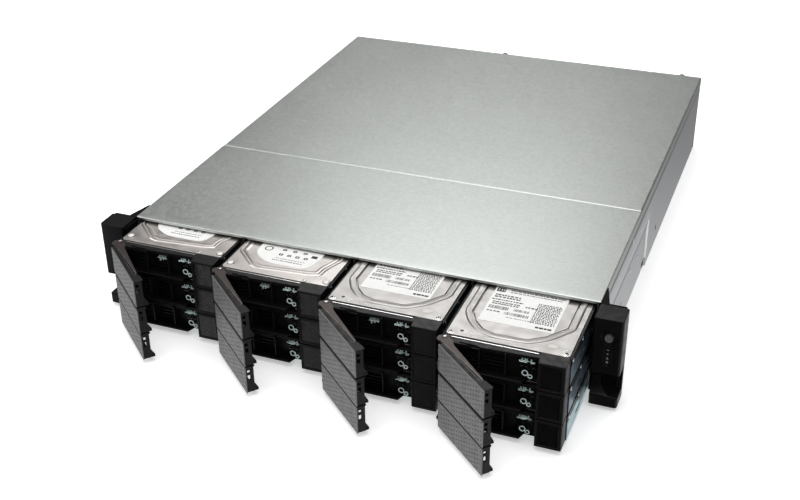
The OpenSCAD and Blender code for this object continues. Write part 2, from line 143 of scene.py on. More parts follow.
def light_world():
    """Surroundings: bright overhead, dimmer low behind and at both sides, a floor glow, and a white backdrop."""
    world = bpy.data.worlds.new("studio")
    bpy.context.scene.world = world
    world.use_nodes = True
    n = Nodes(world.node_tree)
    split = n.add("ShaderNodeSeparateXYZ")
    n.link(n.add("ShaderNodeTexCoord").outputs["Generated"], split.inputs[0])
    x, y, z = (split.outputs[axis] for axis in "XYZ")

    upper = n.combine("MULTIPLY", n.spread(z, 0.15, 0.9, HORIZON, ZENITH), n.spread(y, 0.35, 0.8, 1.0, 0.40))
    left, right = n.spread(x, -0.55, -0.41, 0.42, 1.0), n.spread(x, -0.22, -0.02, 1.0, 0.54)
    upper = n.combine("MULTIPLY", upper, n.combine("MULTIPLY", left, right))

    below = n.spread(z, -0.55, -0.30, FLOOR_NEAR, FLOOR_WIDE)
    behind = n.spread(y, -0.25, 0.45, FLOOR_FRONT, 1.0)
    beside = n.spread(n.combine("ABSOLUTE", x, 0.0), 0.20, 0.52, 0.0, 1.0)
    lower = n.combine("MULTIPLY", below, n.combine("MAXIMUM", behind, beside))
    lower = n.combine("MAXIMUM", lower, n.spread(y, 0.84, 0.97, 0.0, BACK_GLOW))

    above = n.spread(z, -0.06, 0.06, 0.0, 1.0)
    upper = n.combine("MULTIPLY", upper, above)
    lower = n.combine("MULTIPLY", lower, n.combine("SUBTRACT", 1.0, above))
    seen = n.combine("MULTIPLY", n.add("ShaderNodeLightPath").outputs["Is Camera Ray"], BACKDROP)
    level = n.combine("MAXIMUM", n.combine("ADD", upper, lower), seen)
    n.link(level, world.node_tree.nodes["Background"].inputs["Color"])


def make_stage():
    """The floor, the lamps and how the picture is developed."""
    mesh = bpy.data.meshes.new("floor")
    bm = bmesh.new()
    bmesh.ops.create_circle(bm, cap_ends=True, segments=64, radius=40)
    bm.to_mesh(mesh)
    bm.free()
    floor = bpy.data.objects.new("floor", mesh)
    floor.location.z = -0.0002
    bpy.context.scene.collection.objects.link(floor)
    paper = bpy.data.materials.new("paper")
    paper.use_nodes = True
    shader = paper.node_tree.nodes["Principled BSDF"]
    for socket, value in (("Base Color", (0.93, 0.93, 0.93, 1)), ("Roughness", 0.9), ("Specular IOR Level", 0.1),
                          ("Emission Color", (1, 1, 1, 1)), ("Emission Strength", PAPER_GLOW)):
        shader.inputs[socket].default_value = value
    mesh.materials.append(paper)
    floor.visible_glossy = False
    light_world()
    softbox("behind", (-0.42, 1.35, 1.36), (0, -0.2, 0.08), (1.0, 0.45), 4.2)
    softbox("overhead", (0.1, -0.3, 2.3), (0, -0.1, 0), (1.6, 1.2), 19.5)
    softbox("front_left", (-2.2, -1.2, 1.0), (0, -0.3, 0.05), (1.2, 1.0), 18)
    bpy.context.scene.view_settings.view_transform = "Standard"


# ---------------------------------------------------------------- materials

class Finish(Nodes):
    """A procedural material, whose noises are measured in millimetres on the object."""

    def __init__(self, name, colour, roughness, metallic=0.0, **sockets):
        self.material = bpy.data.materials.new(name)
        self.material.use_nodes = True
        super().__init__(self.material.node_tree)
        self.shader = self.tree.nodes["Principled BSDF"]
        self.colour = colour
        self.shader.inputs["Roughness"].default_value = roughness
        self.shader.inputs["Metallic"].default_value = metallic
        for socket, value in sockets.items():
            self.shader.inputs[socket.replace("_", " ")].default_value = value
        self.place = self.add("ShaderNodeTexCoord").outputs["Object"]

    def stretched(self, stretch):
        """Coordinates drawn out along an axis."""
        mapping = self.add("ShaderNodeMapping")
        mapping.inputs["Scale"].default_value = stretch
        self.link(self.place, mapping.inputs["Vector"])
        return mapping.outputs["Vector"]

    def noise(self, size, detail=3.0, stretch=(1, 1, 1)):
        """Cloudy noise with features of about that many millimetres."""
        node = self.add("ShaderNodeTexNoise", Scale=1 / (size * MM), Detail=detail)
        self.link(self.stretched(stretch), node.inputs["Vector"])
        return node.outputs["Fac"]

    def crystals(self, size):
        """A level for each crystal, as on zinc."""
        node = self.add("ShaderNodeTexVoronoi", Scale=1 / (size * MM), Randomness=1.0)
        self.link(self.place, node.inputs["Vector"])
        split = self.add("ShaderNodeSeparateColor")
        self.link(node.outputs["Color"], split.inputs[0])
        return split.outputs[0]

    def tint(self, value, dark, light, low=0.3, high=0.7):
        """The colour runs from dark to light times its base."""
        ramp = self.add("ShaderNodeValToRGB")
        for element, where, level in zip(ramp.color_ramp.elements, (low, high), (dark, light)):
            element.position = where
            element.color = (*(min(1, c * level) for c in self.colour), 1)
        self.link(value, ramp.inputs["Fac"])
        self.link(ramp.outputs["Color"], self.shader.inputs["Base Color"])

    def gloss(self, value, low, high):
        """The roughness runs from low to high."""
        self.link(self.spread(value, 0.3, 0.7, low, high), self.shader.inputs["Roughness"])

    def bump(self, value, height, strength):
        """Raises the surface by up to height millimetres."""
        node = self.add("ShaderNodeBump", Strength=strength, Distance=height * MM)
        self.link(value, node.inputs["Height"])
        self.link(node.outputs["Normal"], self.shader.inputs["Normal"])


def galvanised(name, colour, rough, spangle=2.6):
    """Zinc-coated sheet with a fine spangle, broad sheen changes and a fine grain."""
    f = Finish(name, colour, rough, 1.0)
    crystals = f.crystals(spangle)
    f.tint(crystals, 0.93, 1.05, 0.0, 1.0)
    f.gloss(f.combine("MULTIPLY", f.combine("ADD", crystals, f.noise(60, 4)), 0.5), rough - 0.02, rough + 0.03)
    f.bump(f.noise(0.5, 2), 0.02, 0.25)
    return f.material


def moulded(name, colour, rough, grain=0.35, level=0.5):
    """Injection-moulded plastic with a fine grain and slight sheen changes."""
    f = Finish(name, colour, rough, Specular_IOR_Level=level)
    f.tint(f.noise(9, 4), 0.86, 1.14)
    f.gloss(f.noise(5, 3), rough - 0.05, rough + 0.07)
    f.bump(f.noise(grain, 2), 0.03, 0.35)
    return f.material


def machined(name, colour, rough, stretch=(1, 1, 0.06)):
    """Rolled or pressed metal with fine lines along one way."""
    f = Finish(name, colour, rough, 1.0)
    f.tint(f.noise(14, 4), 0.92, 1.07)
    f.gloss(f.noise(0.9, 3, stretch), rough - 0.04, rough + 0.05)
    f.bump(f.noise(0.5, 2, stretch), 0.006, 0.25)
    return f.material


def plated(name, colour, rough, metallic=1.0):
    """Smooth coated sheet that is only slightly uneven."""
    f = Finish(name, colour, rough, metallic)
    f.tint(f.noise(22, 3), 0.92, 1.06)
    f.gloss(f.noise(9, 3), rough - 0.04, rough + 0.06)
    return f.material


def printed(name, colour):
    """Paper or foil stuck on, with a slight tooth."""
    f = Finish(name, colour, 0.55, Specular_IOR_Level=0.3)
    f.tint(f.noise(3, 4), 0.96, 1.03)
    f.gloss(f.noise(1.5, 2), 0.50, 0.63)
    f.bump(f.noise(0.25, 2), 0.01, 0.3)
    return f.material


def circuit(name, colour):
    """Solder mask over copper traces."""
    f = Finish(name, colour, 0.3, Coat_Weight=0.4, Coat_Roughness=0.15)
    trace = f.add("ShaderNodeTexBrick", Scale=220)
    trace.inputs["Mortar Size"].default_value = 0.06
    f.link(f.place, trace.inputs["Vector"])
    f.tint(trace.outputs["Fac"], 0.8, 1.5, 0.2, 0.8)
    f.bump(trace.outputs["Fac"], 0.04, 0.4)
    return f.material


COVER = galvanised("cover_zinc", (0.60, 0.625, 0.60), 0.40)
WALL = galvanised("wall_zinc", (0.57, 0.585, 0.60), 0.34, 1.9)
CAGE = galvanised("cage_zinc", (0.50, 0.51, 0.52), 0.42, 1.5)
# Two copies of the rail zinc: the lighter teal one, whose tint is a painted reflection, serves the lowest row and the
# wall notch; the darker one serves the upper rows as painted shade.
RAIL_LIT = plated("rail_lit_zinc", (0.42, 0.62, 0.66), 0.36)
RAIL_SHADED = plated("rail_shaded_zinc", (0.25, 0.34, 0.42), 0.36)
# Pale teal-white with little metal, so the rings stay bright under any lamp: painted highlight and reflection.
LATCH_HIGHLIGHT = plated("latch_zinc_highlight", (0.78, 0.93, 0.93), 0.35, 0.25)
# Dark blue-grey zinc for the strip along the top edge of the recess: painted shade.
CREASE_SHADE = galvanised("crease_zinc_painted_shade", (0.22, 0.26, 0.31), 0.42, 1.9)
# Lighter dots on the glossy panel: painted reflection of the neighbouring drilled handle.
DOT_REFLECTION = moulded("dot_painted_reflection", (0.034, 0.031, 0.031), 0.34, 0.3, 0.4)
# Pale, half-metal finish: on the side studs the light colour is a painted highlight; the warm drives' domed screws use
# it too.
RIVET = plated("rivet_zinc", (0.82, 0.78, 0.76), 0.42, 0.45)
# Pale matt finish that stays bright under any lamp: painted highlight for the recess's rear edge.
PRESS_HIGHLIGHT = printed("pressed_edge_painted_highlight", (0.86, 0.86, 0.85))
SUPPLY = galvanised("supply_zinc", (0.55, 0.55, 0.54), 0.40, 1.6)
BLACK_STEEL = moulded("painted_steel", (0.006, 0.005, 0.005), 0.6, 0.4, 0.08)
EAR = moulded("ear_black", (0.005, 0.0042, 0.0042), 0.36, 0.4, 0.18)
TRAY = moulded("tray_black", (0.007, 0.006, 0.006), 0.34, 0.5, 0.24)
GLOSS = moulded("panel_black", (0.003, 0.0025, 0.0025), 0.16, 1.6, 0.55)
FACE = moulded("face_grey", (0.138, 0.135, 0.137), 0.42, 0.35, 0.4)
BUTTON = moulded("button_grey", (0.085, 0.08, 0.08), 0.34, 0.3, 0.5)
SMOKE = moulded("window_smoke", (0.006, 0.006, 0.007), 0.10, 1.2, 0.5)
PIP = printed("window_print", (0.16, 0.16, 0.165))
LEDGE = moulded("ledge_black", (0.010, 0.009, 0.009), 0.38, 0.4, 0.24)
LEVER = machined("lever_steel", (0.100, 0.085, 0.080), 0.42, (0.1, 1, 1))
# Lighter copy of the lever steel for thin lines along its top edge: painted highlight.
LEVER_EDGE_HIGHLIGHT = machined("lever_rim_highlight", (0.34, 0.32, 0.31), 0.30, (0.1, 1, 1))
BRIGHT = machined("bright_steel", (0.82, 0.81, 0.80), 0.20)
NICKEL = machined("nickel", (0.88, 0.86, 0.83), 0.13)
CAST = machined("drive_cast", (0.42, 0.41, 0.40), 0.48, (1, 1, 1))
COVER_B = plated("drive_cover_grey", (0.49, 0.475, 0.46), 0.36)
COVER_A = plated("drive_cover_warm", (0.68, 0.64, 0.61), 0.33)
PAPER = printed("label_white", (0.86, 0.86, 0.84))
INK = printed("label_ink", (0.03, 0.03, 0.032))
FAINT = printed("label_grey", (0.16, 0.16, 0.165))
STICKER = printed("sticker_pale", (0.66, 0.64, 0.60))
BOARD = circuit("board_green", (0.012, 0.11, 0.05))
PLASTIC = moulded("fan_black", (0.018, 0.018, 0.019), 0.42)
FINS = machined("fin_aluminium", (0.70, 0.71, 0.72), 0.32, (1, 0.06, 1))
PORT = machined("port_tin", (0.70, 0.69, 0.66), 0.26)
DARK = moulded("socket_black", (0.008, 0.008, 0.008), 0.4)
CATCH = moulded("catch_teal", (0.03, 0.20, 0.21), 0.34)
GOLD = plated("contact_gold", (0.83, 0.60, 0.22), 0.25)
LAMP = moulded("lamp_green", (0.05, 0.42, 0.12), 0.25)
TONGUE = moulded("port_tongue", (0.02, 0.06, 0.19), 0.4)


# ---------------------------------------------------------------- shapes

AXES = {
    "z": lambda u, v, w: (u, v, w),
    "y": lambda u, v, w: (u, w, v),
    "x": lambda u, v, w: (w, u, v),
}


def arc(centre, radius, start, end, steps=6):
    """Points along a circle, from one angle to another, in degrees."""
    angles = [math.radians(start + (end - start) * i / steps) for i in range(steps + 1)]
    return [(centre[0] + radius * math.cos(a), centre[1] + radius * math.sin(a)) for a in angles]


def ring(centre, radius, sides):
    """A closed circle of so many corners."""
    return arc(centre, radius, 0, 360, sides)[:-1]


def ellipse(centre, across, up, sides):
    return [(centre[0] + across * u, centre[1] + up * v) for u, v in ring((0, 0), 1, sides)]


def spoke(centre, turn, near, far, half):
    """A bar that points away from a centre, at an angle in degrees."""
    c, d = math.cos(math.radians(turn)), math.sin(math.radians(turn))
    ends = ((near, -half), (far, -half), (far, half), (near, half))
    return [(centre[0] + c * r - d * w, centre[1] + d * r + c * w) for r, w in ends]


def mirrored(side, a, b):
    """The span from a to b, on one side of the middle (-1 or 1)."""
    return sorted((side * a, side * b))


def rectangle(u, v):
    return [(u[0], v[0]), (u[1], v[0]), (u[1], v[1]), (u[0], v[1])]


def rounded(u, v, radius, steps=5):
    """A rectangle with round corners."""
    corners = (((u[1], v[1]), 0), ((u[0], v[1]), 90), ((u[0], v[0]), 180), ((u[1], v[0]), 270))
    points = []
    for (x, y), turn in corners:
        cx = x - radius if x == u[1] else x + radius
        cy = y - radius if y == v[1] else y + radius
        points += arc((cx, cy), radius, turn, turn + 90, steps)
    return points


def softened(points, radius, steps=3):
    """A polygon with each corner cut back and rounded off."""
    out = []
    for i, p in enumerate(points):
        here = Vector(p)
        before = Vector(points[i - 1])
        after = Vector(points[(i + 1) % len(points)])
        cut = min(radius, (before - here).length * 0.45, (after - here).length * 0.45)
        a = here + (before - here).normalized() * cut
        b = here + (after - here).normalized() * cut
        for k in range(steps + 1):
            t = k / steps
            out.append(tuple(a * (1 - t) ** 2 + here * 2 * t * (1 - t) + b * t ** 2))
    return out


def inset(points, distance):
    """An anticlockwise outline moved inwards by a distance."""
    out = []
    for i, p in enumerate(points):
        here = Vector(p)
        before = (here - Vector(points[i - 1])).normalized()
        after = (Vector(points[(i + 1) % len(points)]) - here).normalized()
        across = Vector((-before.y - after.y, before.x + after.x)) / max(0.4, 1 + before.dot(after))
        out.append(tuple(here + across * distance))
    return out


class Shape:
    """Closed solids gathered into one mesh, with their sizes in millimetres."""

    def __init__(self):
        self.bm = bmesh.new()
        self.materials = []

    def solid(self, points, faces, material):
        """One closed solid; all others are made through this."""
        if material not in self.materials:
            self.materials.append(material)
        index = self.materials.index(material)
        verts = [self.bm.verts.new(Vector(p) * MM) for p in points]
        made = []
        for corners in faces:
            face = self.bm.faces.new([verts[i] for i in corners])
            face.material_index = index
            made.append(face)
        bmesh.ops.recalc_face_normals(self.bm, faces=made)

    def loft(self, levels, material, axis="z"):
        """A solid through outlines of equal length, each with its place along the axis."""
        place = AXES.get(axis, axis)
        size = len(levels[0][0])
        points = [place(u, v, w) for outline, w in levels for u, v in outline]
        last = len(points) - size
        faces = [tuple(range(size)), tuple(range(last, last + size))]
        for low in range(0, last, size):
            faces += [(low + i, low + (i + 1) % size, low + size + (i + 1) % size, low + size + i)
                      for i in range(size)]
        self.solid(points, faces, material)

    def prism(self, outline, span, material, axis="z", holes=()):
        """An outline, with any holes, pushed along an axis; with holes, three places chamfer the first edge."""
        place = AXES.get(axis, axis)
        if not holes:
            self.loft([(outline, w) for w in span], material, axis)
            return
        levels = [(outline, w) for w in span]
        if len(span) > 2:
            levels[0] = (inset(outline, span[1] - span[0]), span[0])
        edge = len(outline)
        inner = [p for hole in holes for p in hole]
        rims = [place(u, v, w) for level, w in levels for u, v in level]
        count = len(rims)
        ends = [place(u, v, w) for w in (span[0], span[-1]) for u, v in inner]
        tiles = tessellate_polygon([[Vector((u, v, 0)) for u, v in loop] for loop in (levels[0][0], *holes)])
        last = count - edge
        faces = [tuple(i if i < edge else count + i - edge for i in t) for t in tiles]
        faces += [tuple(i + last if i < edge else count + i - edge + len(inner) for i in t) for t in tiles]
        for low in range(0, last, edge):
            faces += [(low + i, low + (i + 1) % edge, low + edge + (i + 1) % edge, low + edge + i)
                      for i in range(edge)]
        start = count
        for hole in holes:
            size = len(hole)
            for i in range(size):
                a, b = start + i, start + (i + 1) % size
                faces.append((a, b, b + len(inner), a + len(inner)))
            start += size
        self.solid(rims + ends, faces, material)

    def box(self, u, v, w, material, axis="z", holes=()):
        """A rectangle, with any holes, pushed along an axis."""
        self.prism(rectangle(u, v), w, material, axis, holes)

    def turned(self, centre, profile, material, axis="z", sides=24):
        """A lathe-turned solid; profile lists (radius, place along the axis) from end to end."""
        self.loft([(ring(centre, r, sides), w) for r, w in profile], material, axis)

    def stud(self, side, centre, profile, material, sides):
        """A turned head that stands out from the left (-1) or right (1) flank."""
        self.turned(centre, [(r, side * w) for r, w in profile], material, "x", sides)

    def sheet(self, us, vs, outer, inner, material, missing=()):
        """A sheet over a grid of (u, v), between two surfaces, without the missing cells."""
        across = len(vs)
        points = [outer(u, v) for u in us for v in vs] + [inner(u, v) for u in us for v in vs]
        half = len(us) * across
        cells = {(i, j) for i in range(len(us) - 1) for j in range(across - 1)} - set(missing)
        faces = []
        for i, j in cells:
            a, b = i * across + j, i * across + j + 1
            c, d = b + across, a + across
            faces.append((a, b, c, d))
            faces.append((half + a, half + d, half + c, half + b))
            for near, (p, q) in (((i - 1, j), (a, b)), ((i + 1, j), (c, d)),
                                 ((i, j - 1), (a, d)), ((i, j + 1), (b, c))):
                if near not in cells:
                    faces.append((p, q, half + q, half + p))
        used = sorted({i for f in faces for i in f})
        new = {old: i for i, old in enumerate(used)}
        self.solid([points[i] for i in used], [tuple(new[i] for i in f) for f in faces], material)

    def mesh(self, name):
        mesh = bpy.data.meshes.new(name)
        self.bm.to_mesh(mesh)
        self.bm.free()
        for material in self.materials:
            mesh.materials.append(material)
        return shade(mesh)


def shade(mesh):
    """Smooth across gentle angles only."""
    mesh.polygons.foreach_set("use_smooth", [True] * len(mesh.polygons))
    mesh.set_sharp_from_angle(angle=SMOOTH)
    return mesh


def piece(name, mesh, body, replaces=(), at=None, bevel=0.0, segments=2):
    """Puts a mesh or a shape in place, on its body, with its edges eased by bevel millimetres."""
    if isinstance(mesh, Shape):
        mesh = mesh.mesh(name)
    thing = bpy.data.objects.new(name, mesh)
    bpy.context.scene.collection.objects.link(thing)
    if at:
        thing.matrix_world = at
    if bevel:
        ease = thing.modifiers.new("ease", "BEVEL")
        ease.width = bevel * MM
        ease.segments = segments
        ease.limit_method = "ANGLE"
        ease.angle_limit = SMOOTH
        ease.use_clamp_overlap = False
        ease.harden_normals = True
    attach(thing, body)
    if replaces:
        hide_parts(*replaces)


def mm_box(node):
    """Lowest and highest corner of a CAD node, in millimetres."""
    lo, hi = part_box(node)
    return lo / MM, hi / MM


def repaint(node, material):
    """Gives a CAD node its finish."""
    mesh = frame["nodes"][node].data
    mesh.materials.clear()
    mesh.materials.append(material)


# ---------------------------------------------------------------- chassis

COVER_LO, COVER_HI = mm_box("front_cover")
LID_FRONT = mm_box("rear_lid")[0].y
FRONT = COVER_LO.y
REAR = mm_box("chassis_base")[1].y
HALF = COVER_HI.x
TOP = COVER_HI.z
FOLD = COVER_LO.z
SHEET = 1.2
FANS_LO, FANS_HI = mm_box("fan_frames")
FAN_XS, FAN_Z = (-130, 0, 130), (FANS_LO.z + FANS_HI.z) / 2
FAN_HALF, FAN_BORE = 40.0, 38.5


def folded(half, top, low, thick, radius):
    """Section of a cover: a flat top with both sides folded down."""
    outer = [(-half, low)]
    outer += arc((-half + radius, top - radius), radius, 180, 90)
    outer += arc((half - radius, top - radius), radius, 90, 0) + [(half, low)]
    corner = thick + 0.2
    inner = [(half - thick, low)]
    inner += arc((half - corner, top - corner), 0.2, 0, 90)
    inner += arc((-half + corner, top - corner), 0.2, 90, 180) + [(-half + thick, low)]
    return outer + inner


def rounded_end(start, radius, thick, fold):
    """Sections of a cover whose top edge is rolled down at its front end."""
    angles = [math.radians(15 * k) for k in range(7)]
    return [(folded(HALF, TOP - radius * (1 - math.sin(a)), FOLD, thick, fold), start + radius * (1 - math.cos(a)))
            for a in angles]


def make_covers():
    """The fixed front cover, whose hem is thicker, and the rear lid with its rear flange."""
    tight, wide = 0.7, 1.6
    hem, thin = (folded(HALF, TOP, FOLD, thick, tight) for thick in (1.5, 1.0))
    front = Shape()
    front.loft([*rounded_end(FRONT, 1.1, 1.5, tight), (hem, FRONT + 8), (thin, FRONT + 8.1), (thin, COVER_HI.y)],
               COVER, "y")
    piece("front_cover_sheet", front, "chassis", ["front_cover"], bevel=0.2)
    plain = folded(HALF, TOP, FOLD, 1.0, wide)
    rear = Shape()
    rear.loft([*rounded_end(LID_FRONT, 0.95, 1.0, wide), (plain, LID_FRONT + 3), (plain, REAR)], COVER, "y")
    rear.box((-HALF + 1.2, HALF - 1.2), (79, TOP - 0.9), (REAR - SHEET, REAR), COVER, "y")
    piece("rear_lid_sheet", rear, "chassis", ["rear_lid"], bevel=0.2)


RECESS_LEN, RECESS_TOP, RECESS_DEPTH = 224, 51, 1.6
JOGGLE, JOGGLE_DEPTH = (75.2, 76.9), 1.2
SLOTS = ((271, 276, 16, 21), (212, 220, 0, 8.5), (519, 526, 0, 8.5))


def ease(value, start, end):
    """Runs smoothly from 0 at start to 1 at end."""
    t = min(1, max(0, (value - start) / (end - start)))
    return t * t * (3 - 2 * t)


def wall_depth(y, z):
    """How far the side wall stands in from its outer plane."""
    along = 1 - ease(y, RECESS_LEN - 0.5, RECESS_LEN + 0.5)
    up = 1 - ease(z, RECESS_TOP - 1.5, RECESS_TOP + 2.5)
    return RECESS_DEPTH * along * up + JOGGLE_DEPTH * ease(z, *JOGGLE)


def make_side_walls():
    """Both walls with the rail recess, the slots and the step under the covers, and the floor."""
    ys = [0, 60, 120, 169, 169.8, 180, 212, 220, *(RECESS_LEN + d for d in (-0.5, -0.25, 0, 0.25, 0.5)),
          271, 276, 340, 410, 480, 519, 526, REAR - FRONT - 1.3]
    zs = [0, 8.5, 16, 21, 34, 46, *(RECESS_TOP + d for d in (-1.5, -0.5, 0.5, 1.5, 2.5)), 70,
          *(JOGGLE[0] + k * (JOGGLE[1] - JOGGLE[0]) / 5 for k in range(6)), 86.6]
    missing = [(i, j) for i in range(len(ys) - 1) for j in range(len(zs) - 1)
               if any(a <= ys[i] < b and c <= zs[j] < d for a, b, c, d in SLOTS)]
    wall = Shape()
    for side in (-1, 1):
        outer, inner = (lambda y, z, depth=depth: (side * (HALF - wall_depth(y, z) - depth), FRONT + y, z)
                        for depth in (0, SHEET))
        wall.sheet(ys, zs, outer, inner, WALL, missing)
    wall.box((-HALF + 1.8, HALF - 1.8), (FRONT, REAR), (0, SHEET), WALL)
    for side in (-1, 1):
        wall.box(mirrored(side, HALF - 4, HALF - 1.4), (FRONT + 519, REAR - 1.4), (3, 7.4), RAIL_LIT)
    piece("chassis_walls", wall, "chassis", ["chassis_base"])


def make_recess_beads():
    """The bead at the rear end of each rail recess, whose pale matt colour is a painted highlight, and the strip above
    it, whose dark colour is painted shade.
    """
    beads = Shape()
    floor = HALF - RECESS_DEPTH
    end = ((floor - 0.1, -1.8), (floor + 0.15, -1.8), (HALF - 0.3, -0.1), (HALF + 0.05, 0.4), (HALF + 0.05, 0.7),
           (HALF - 1.4, 0.7))
    crease = ((floor - 0.1, -6), (floor + 0.3, -6), (HALF - 0.25, 1.8), (HALF - 1.7, 1.8))
    for side in (-1, 1):
        # Pale bead at the recess's rear end: painted highlight.
        beads.prism([(side * u, FRONT + RECESS_LEN + v) for u, v in end], (9, RECESS_TOP + 0.5), PRESS_HIGHLIGHT)
        # Dark strip where the recess edge faces down: painted shade.
        beads.prism([(side * u, RECESS_TOP + v) for u, v in crease], (FRONT + 1, FRONT + RECESS_LEN - 2.2),
                    CREASE_SHADE, "y")
    piece("recess_beads", beads, "chassis")


def make_fan_wall():
    """The bulkhead that carries the fans, with a bore for each."""
    bulkhead = Shape()
    bores = [ring((x, FAN_Z), FAN_BORE, 40) for x in FAN_XS]
    bulkhead.box((-HALF + 2.6, HALF - 2.6), (SHEET / 2, 74),
                   (FRONT + 171, FRONT + 171 + SHEET), WALL, "y", bores)
    piece("fan_wall", bulkhead, "chassis", bevel=0.2)


def make_studs():
    """Six rivets on each side, three of them in the recess."""
    studs = Shape()
    upper = [(HALF, y, z) for y, z in ((75, 69), (137.5, 73), (176, 66))]
    lower = [(HALF - RECESS_DEPTH, y, z) for y, z in ((144, 38), (180, 33), (110, 20))]
    head = ((2.4, -0.4), (2.4, 0.1), (2.2, 0.4), (1.7, 0.65), (1.0, 0.78), (0.2, 0.8))
    for side in (-1, 1):
        for x, y, z in upper + lower:
            # The pale finish makes each stud a light spot: painted highlight.
            studs.stud(side, (FRONT + y, z), [(r, x + w) for r, w in head], RIVET, 20)
    piece("side_rivets", studs, "chassis", ["side_studs"])


# ---------------------------------------------------------------- rack ears

EAR_LO, EAR_HI = mm_box("right_ear_cover")
EAR_MARGIN = 2.4
POCKET_Z, POCKET_R = 24, 11
BUTTON_LO, BUTTON_HI = mm_box("power_button")
BUTTON_X, BUTTON_Z = (BUTTON_LO.x + BUTTON_HI.x) / 2, (BUTTON_LO.z + BUTTON_HI.z) / 2
WINDOW_LO, WINDOW_HI = mm_box("led_window")


def cut(mesh, cutters, name):
    """The mesh with the cutters' volume taken away."""
    body = bpy.data.objects.new(name, mesh)
    bpy.context.scene.collection.objects.link(body)
    made = []
    for i, cutter in enumerate(cutters):
        tool = bpy.data.objects.new(f"{name}_cut", cutter.mesh(f"{name}_cut"))
        bpy.context.scene.collection.objects.link(tool)
        step = body.modifiers.new("cut", "BOOLEAN")
        step.operation = "DIFFERENCE"
        step.solver = "EXACT"
        step.object = tool
        made.append(tool)
    bpy.context.view_layer.update()
    result = bpy.data.meshes.new_from_object(body.evaluated_get(bpy.context.evaluated_depsgraph_get()))
    result.name = name
    for thing in (body, *made):
        bpy.data.objects.remove(thing)
    return shade(result)


def ear_mesh(name, with_controls):
    """A rack ear's cover, seen as the right one: a block with a scooped screw pocket."""
    inside, outside, back, face = EAR_LO.x, EAR_HI.x + EAR_MARGIN, EAR_HI.y, EAR_LO.y
    outline = [(inside, back), (inside, face + 1.6)]
    outline += arc((inside + 1.6, face + 1.6), 1.6, 180, 270, 4)
    outline += arc((outside - 2.6, face + 2.6), 2.6, 270, 360, 6)
    outline += arc((outside - 1.6, back - 1.6), 1.6, 0, 90, 4)
    block = Shape()
    block.prism(outline, (EAR_LO.z, EAR_HI.z), EAR)
    centre, floor_y = outside - 5.4, back - 4.5
    bore = Shape()
    bore.turned((centre, POCKET_Z), [(POCKET_R, face - 2), (POCKET_R, floor_y)], EAR, "y", 48)
    side = Shape()
    side.box((centre, outside + 4), (face - 3, floor_y), (POCKET_Z - POCKET_R, POCKET_Z + POCKET_R), EAR)
    scoop = Shape()
    scoop.turned((face - 6, POCKET_Z), [(13, inside - 3), (13, outside + 5)], EAR, "x", 64)
    cutters = [bore, side, scoop]
    if with_controls:
        hole = Shape()
        seat = [(6.9, face - 2), (6.9, face + 0.7), (5.0, face + 1.3), (4.9, face + 4), (6.2, face + 4),
                (6.2, back + 3)]
        hole.turned((BUTTON_X, BUTTON_Z), seat, EAR, "y", 48)
        slot = Shape()
        slot.prism(rounded((WINDOW_LO.x - 0.1, WINDOW_HI.x + 0.1), (WINDOW_LO.z - 0.1, WINDOW_HI.z + 0.1), 3.45, 8),
                   (face - 2, WINDOW_HI.y + 0.05), EAR, "y")
        cutters += [hole, slot]
    return cut(block.mesh(name), cutters, name)


def make_ears():
    """Both ear covers; the left one is the right one mirrored, without the button and the window."""
    right = ear_mesh("right_ear_shell", True)
    piece("right_ear_shell", right, "chassis", ["right_ear_cover"], bevel=0.5, segments=3)
    left = ear_mesh("left_ear_shell", False)
    left.transform(Matrix.Scale(-1, 4, (1, 0, 0)))
    left.flip_normals()
    piece("left_ear_shell", left, "chassis", ["left_ear_cover"], bevel=0.5, segments=3)
    repaint("ear_brackets", BLACK_STEEL)


def make_button():
    """The power key: a domed cap with a plain mark, and the collar that keeps it in the ear."""
    bx, bz, near = BUTTON_X, BUTTON_Z, BUTTON_LO.y
    button = Shape()
    cap = [(0.3, near + 0.6), (2.0, near + 0.5), (2.7, near + 0.2), (3.1, near), (3.4, near + 0.3), (3.5, near + 3),
           (0.3, near + 3)]
    collar = [(3.2, near + 2.8), (4.6, near + 2.8), (4.6, near + 5.3), (5.8, near + 5.3), (5.8, near + 6.5),
              (4.6, near + 6.5), (4.6, BUTTON_HI.y)]
    button.turned((bx, bz), cap, BUTTON, "y", 40)
    button.turned((bx, bz), collar, DARK, "y", 40)
    mark = arc((bx, bz), 2.0, 125, 415, 16) + arc((bx, bz), 1.55, 415, 125, 16)
    button.prism(mark, (near + 0.34, near + 0.6), PIP, "y")
    button.box((bx - 0.22, bx + 0.22), (bz + 0.6, bz + 2.5), (near + 0.30, near + 0.6), PIP, "y")
    piece("power_key", button, "power_button", ["power_button"])


def make_window():
    """The smoked window with four plain marks."""
    cx = (WINDOW_LO.x + WINDOW_HI.x) / 2
    face = WINDOW_LO.y
    pane = Shape()
    pane.prism(rounded((WINDOW_LO.x, WINDOW_HI.x), (WINDOW_LO.z, WINDOW_HI.z), 3.35, 8),
               (face, WINDOW_HI.y), SMOKE, "y")
    heights = [WINDOW_LO.z + d for d in (14.9, 11.1, 7.1, 3.3)]
    marks = [
        rounded((-1.0, 1.0), (-0.45, 0.45), 0.4, 3),
        [(0, -1.2), (0.4, -0.4), (1.2, 0), (0.4, 0.4), (0, 1.2), (-0.4, 0.4), (-1.2, 0), (-0.4, -0.4)],
        [(-1.3, -1.0), (1.3, -1.0), (0, 1.2)],
        ring((0, 0), 1.15, 16),
    ]
    for z, mark in zip(heights, marks):
        pane.prism([(cx + u, z + v) for u, v in mark], (face - 0.03, face + 0.1), PIP, "y")
    piece("light_window", pane, "chassis", ["led_window"], bevel=0.12)


# ---------------------------------------------------------------- trays

FRONT_D = 15.0
BLOCK_L, BLOCK_BACK_L, BLOCK_R = 29.6, 27.6, 51.5
BLOCK_H = 25.8
WALL_L = -52.3
BEAM_LOW, BEAM_TOP = 21.5, 24.4
HINGE_X, HINGE_Y = -48.6, 9.7


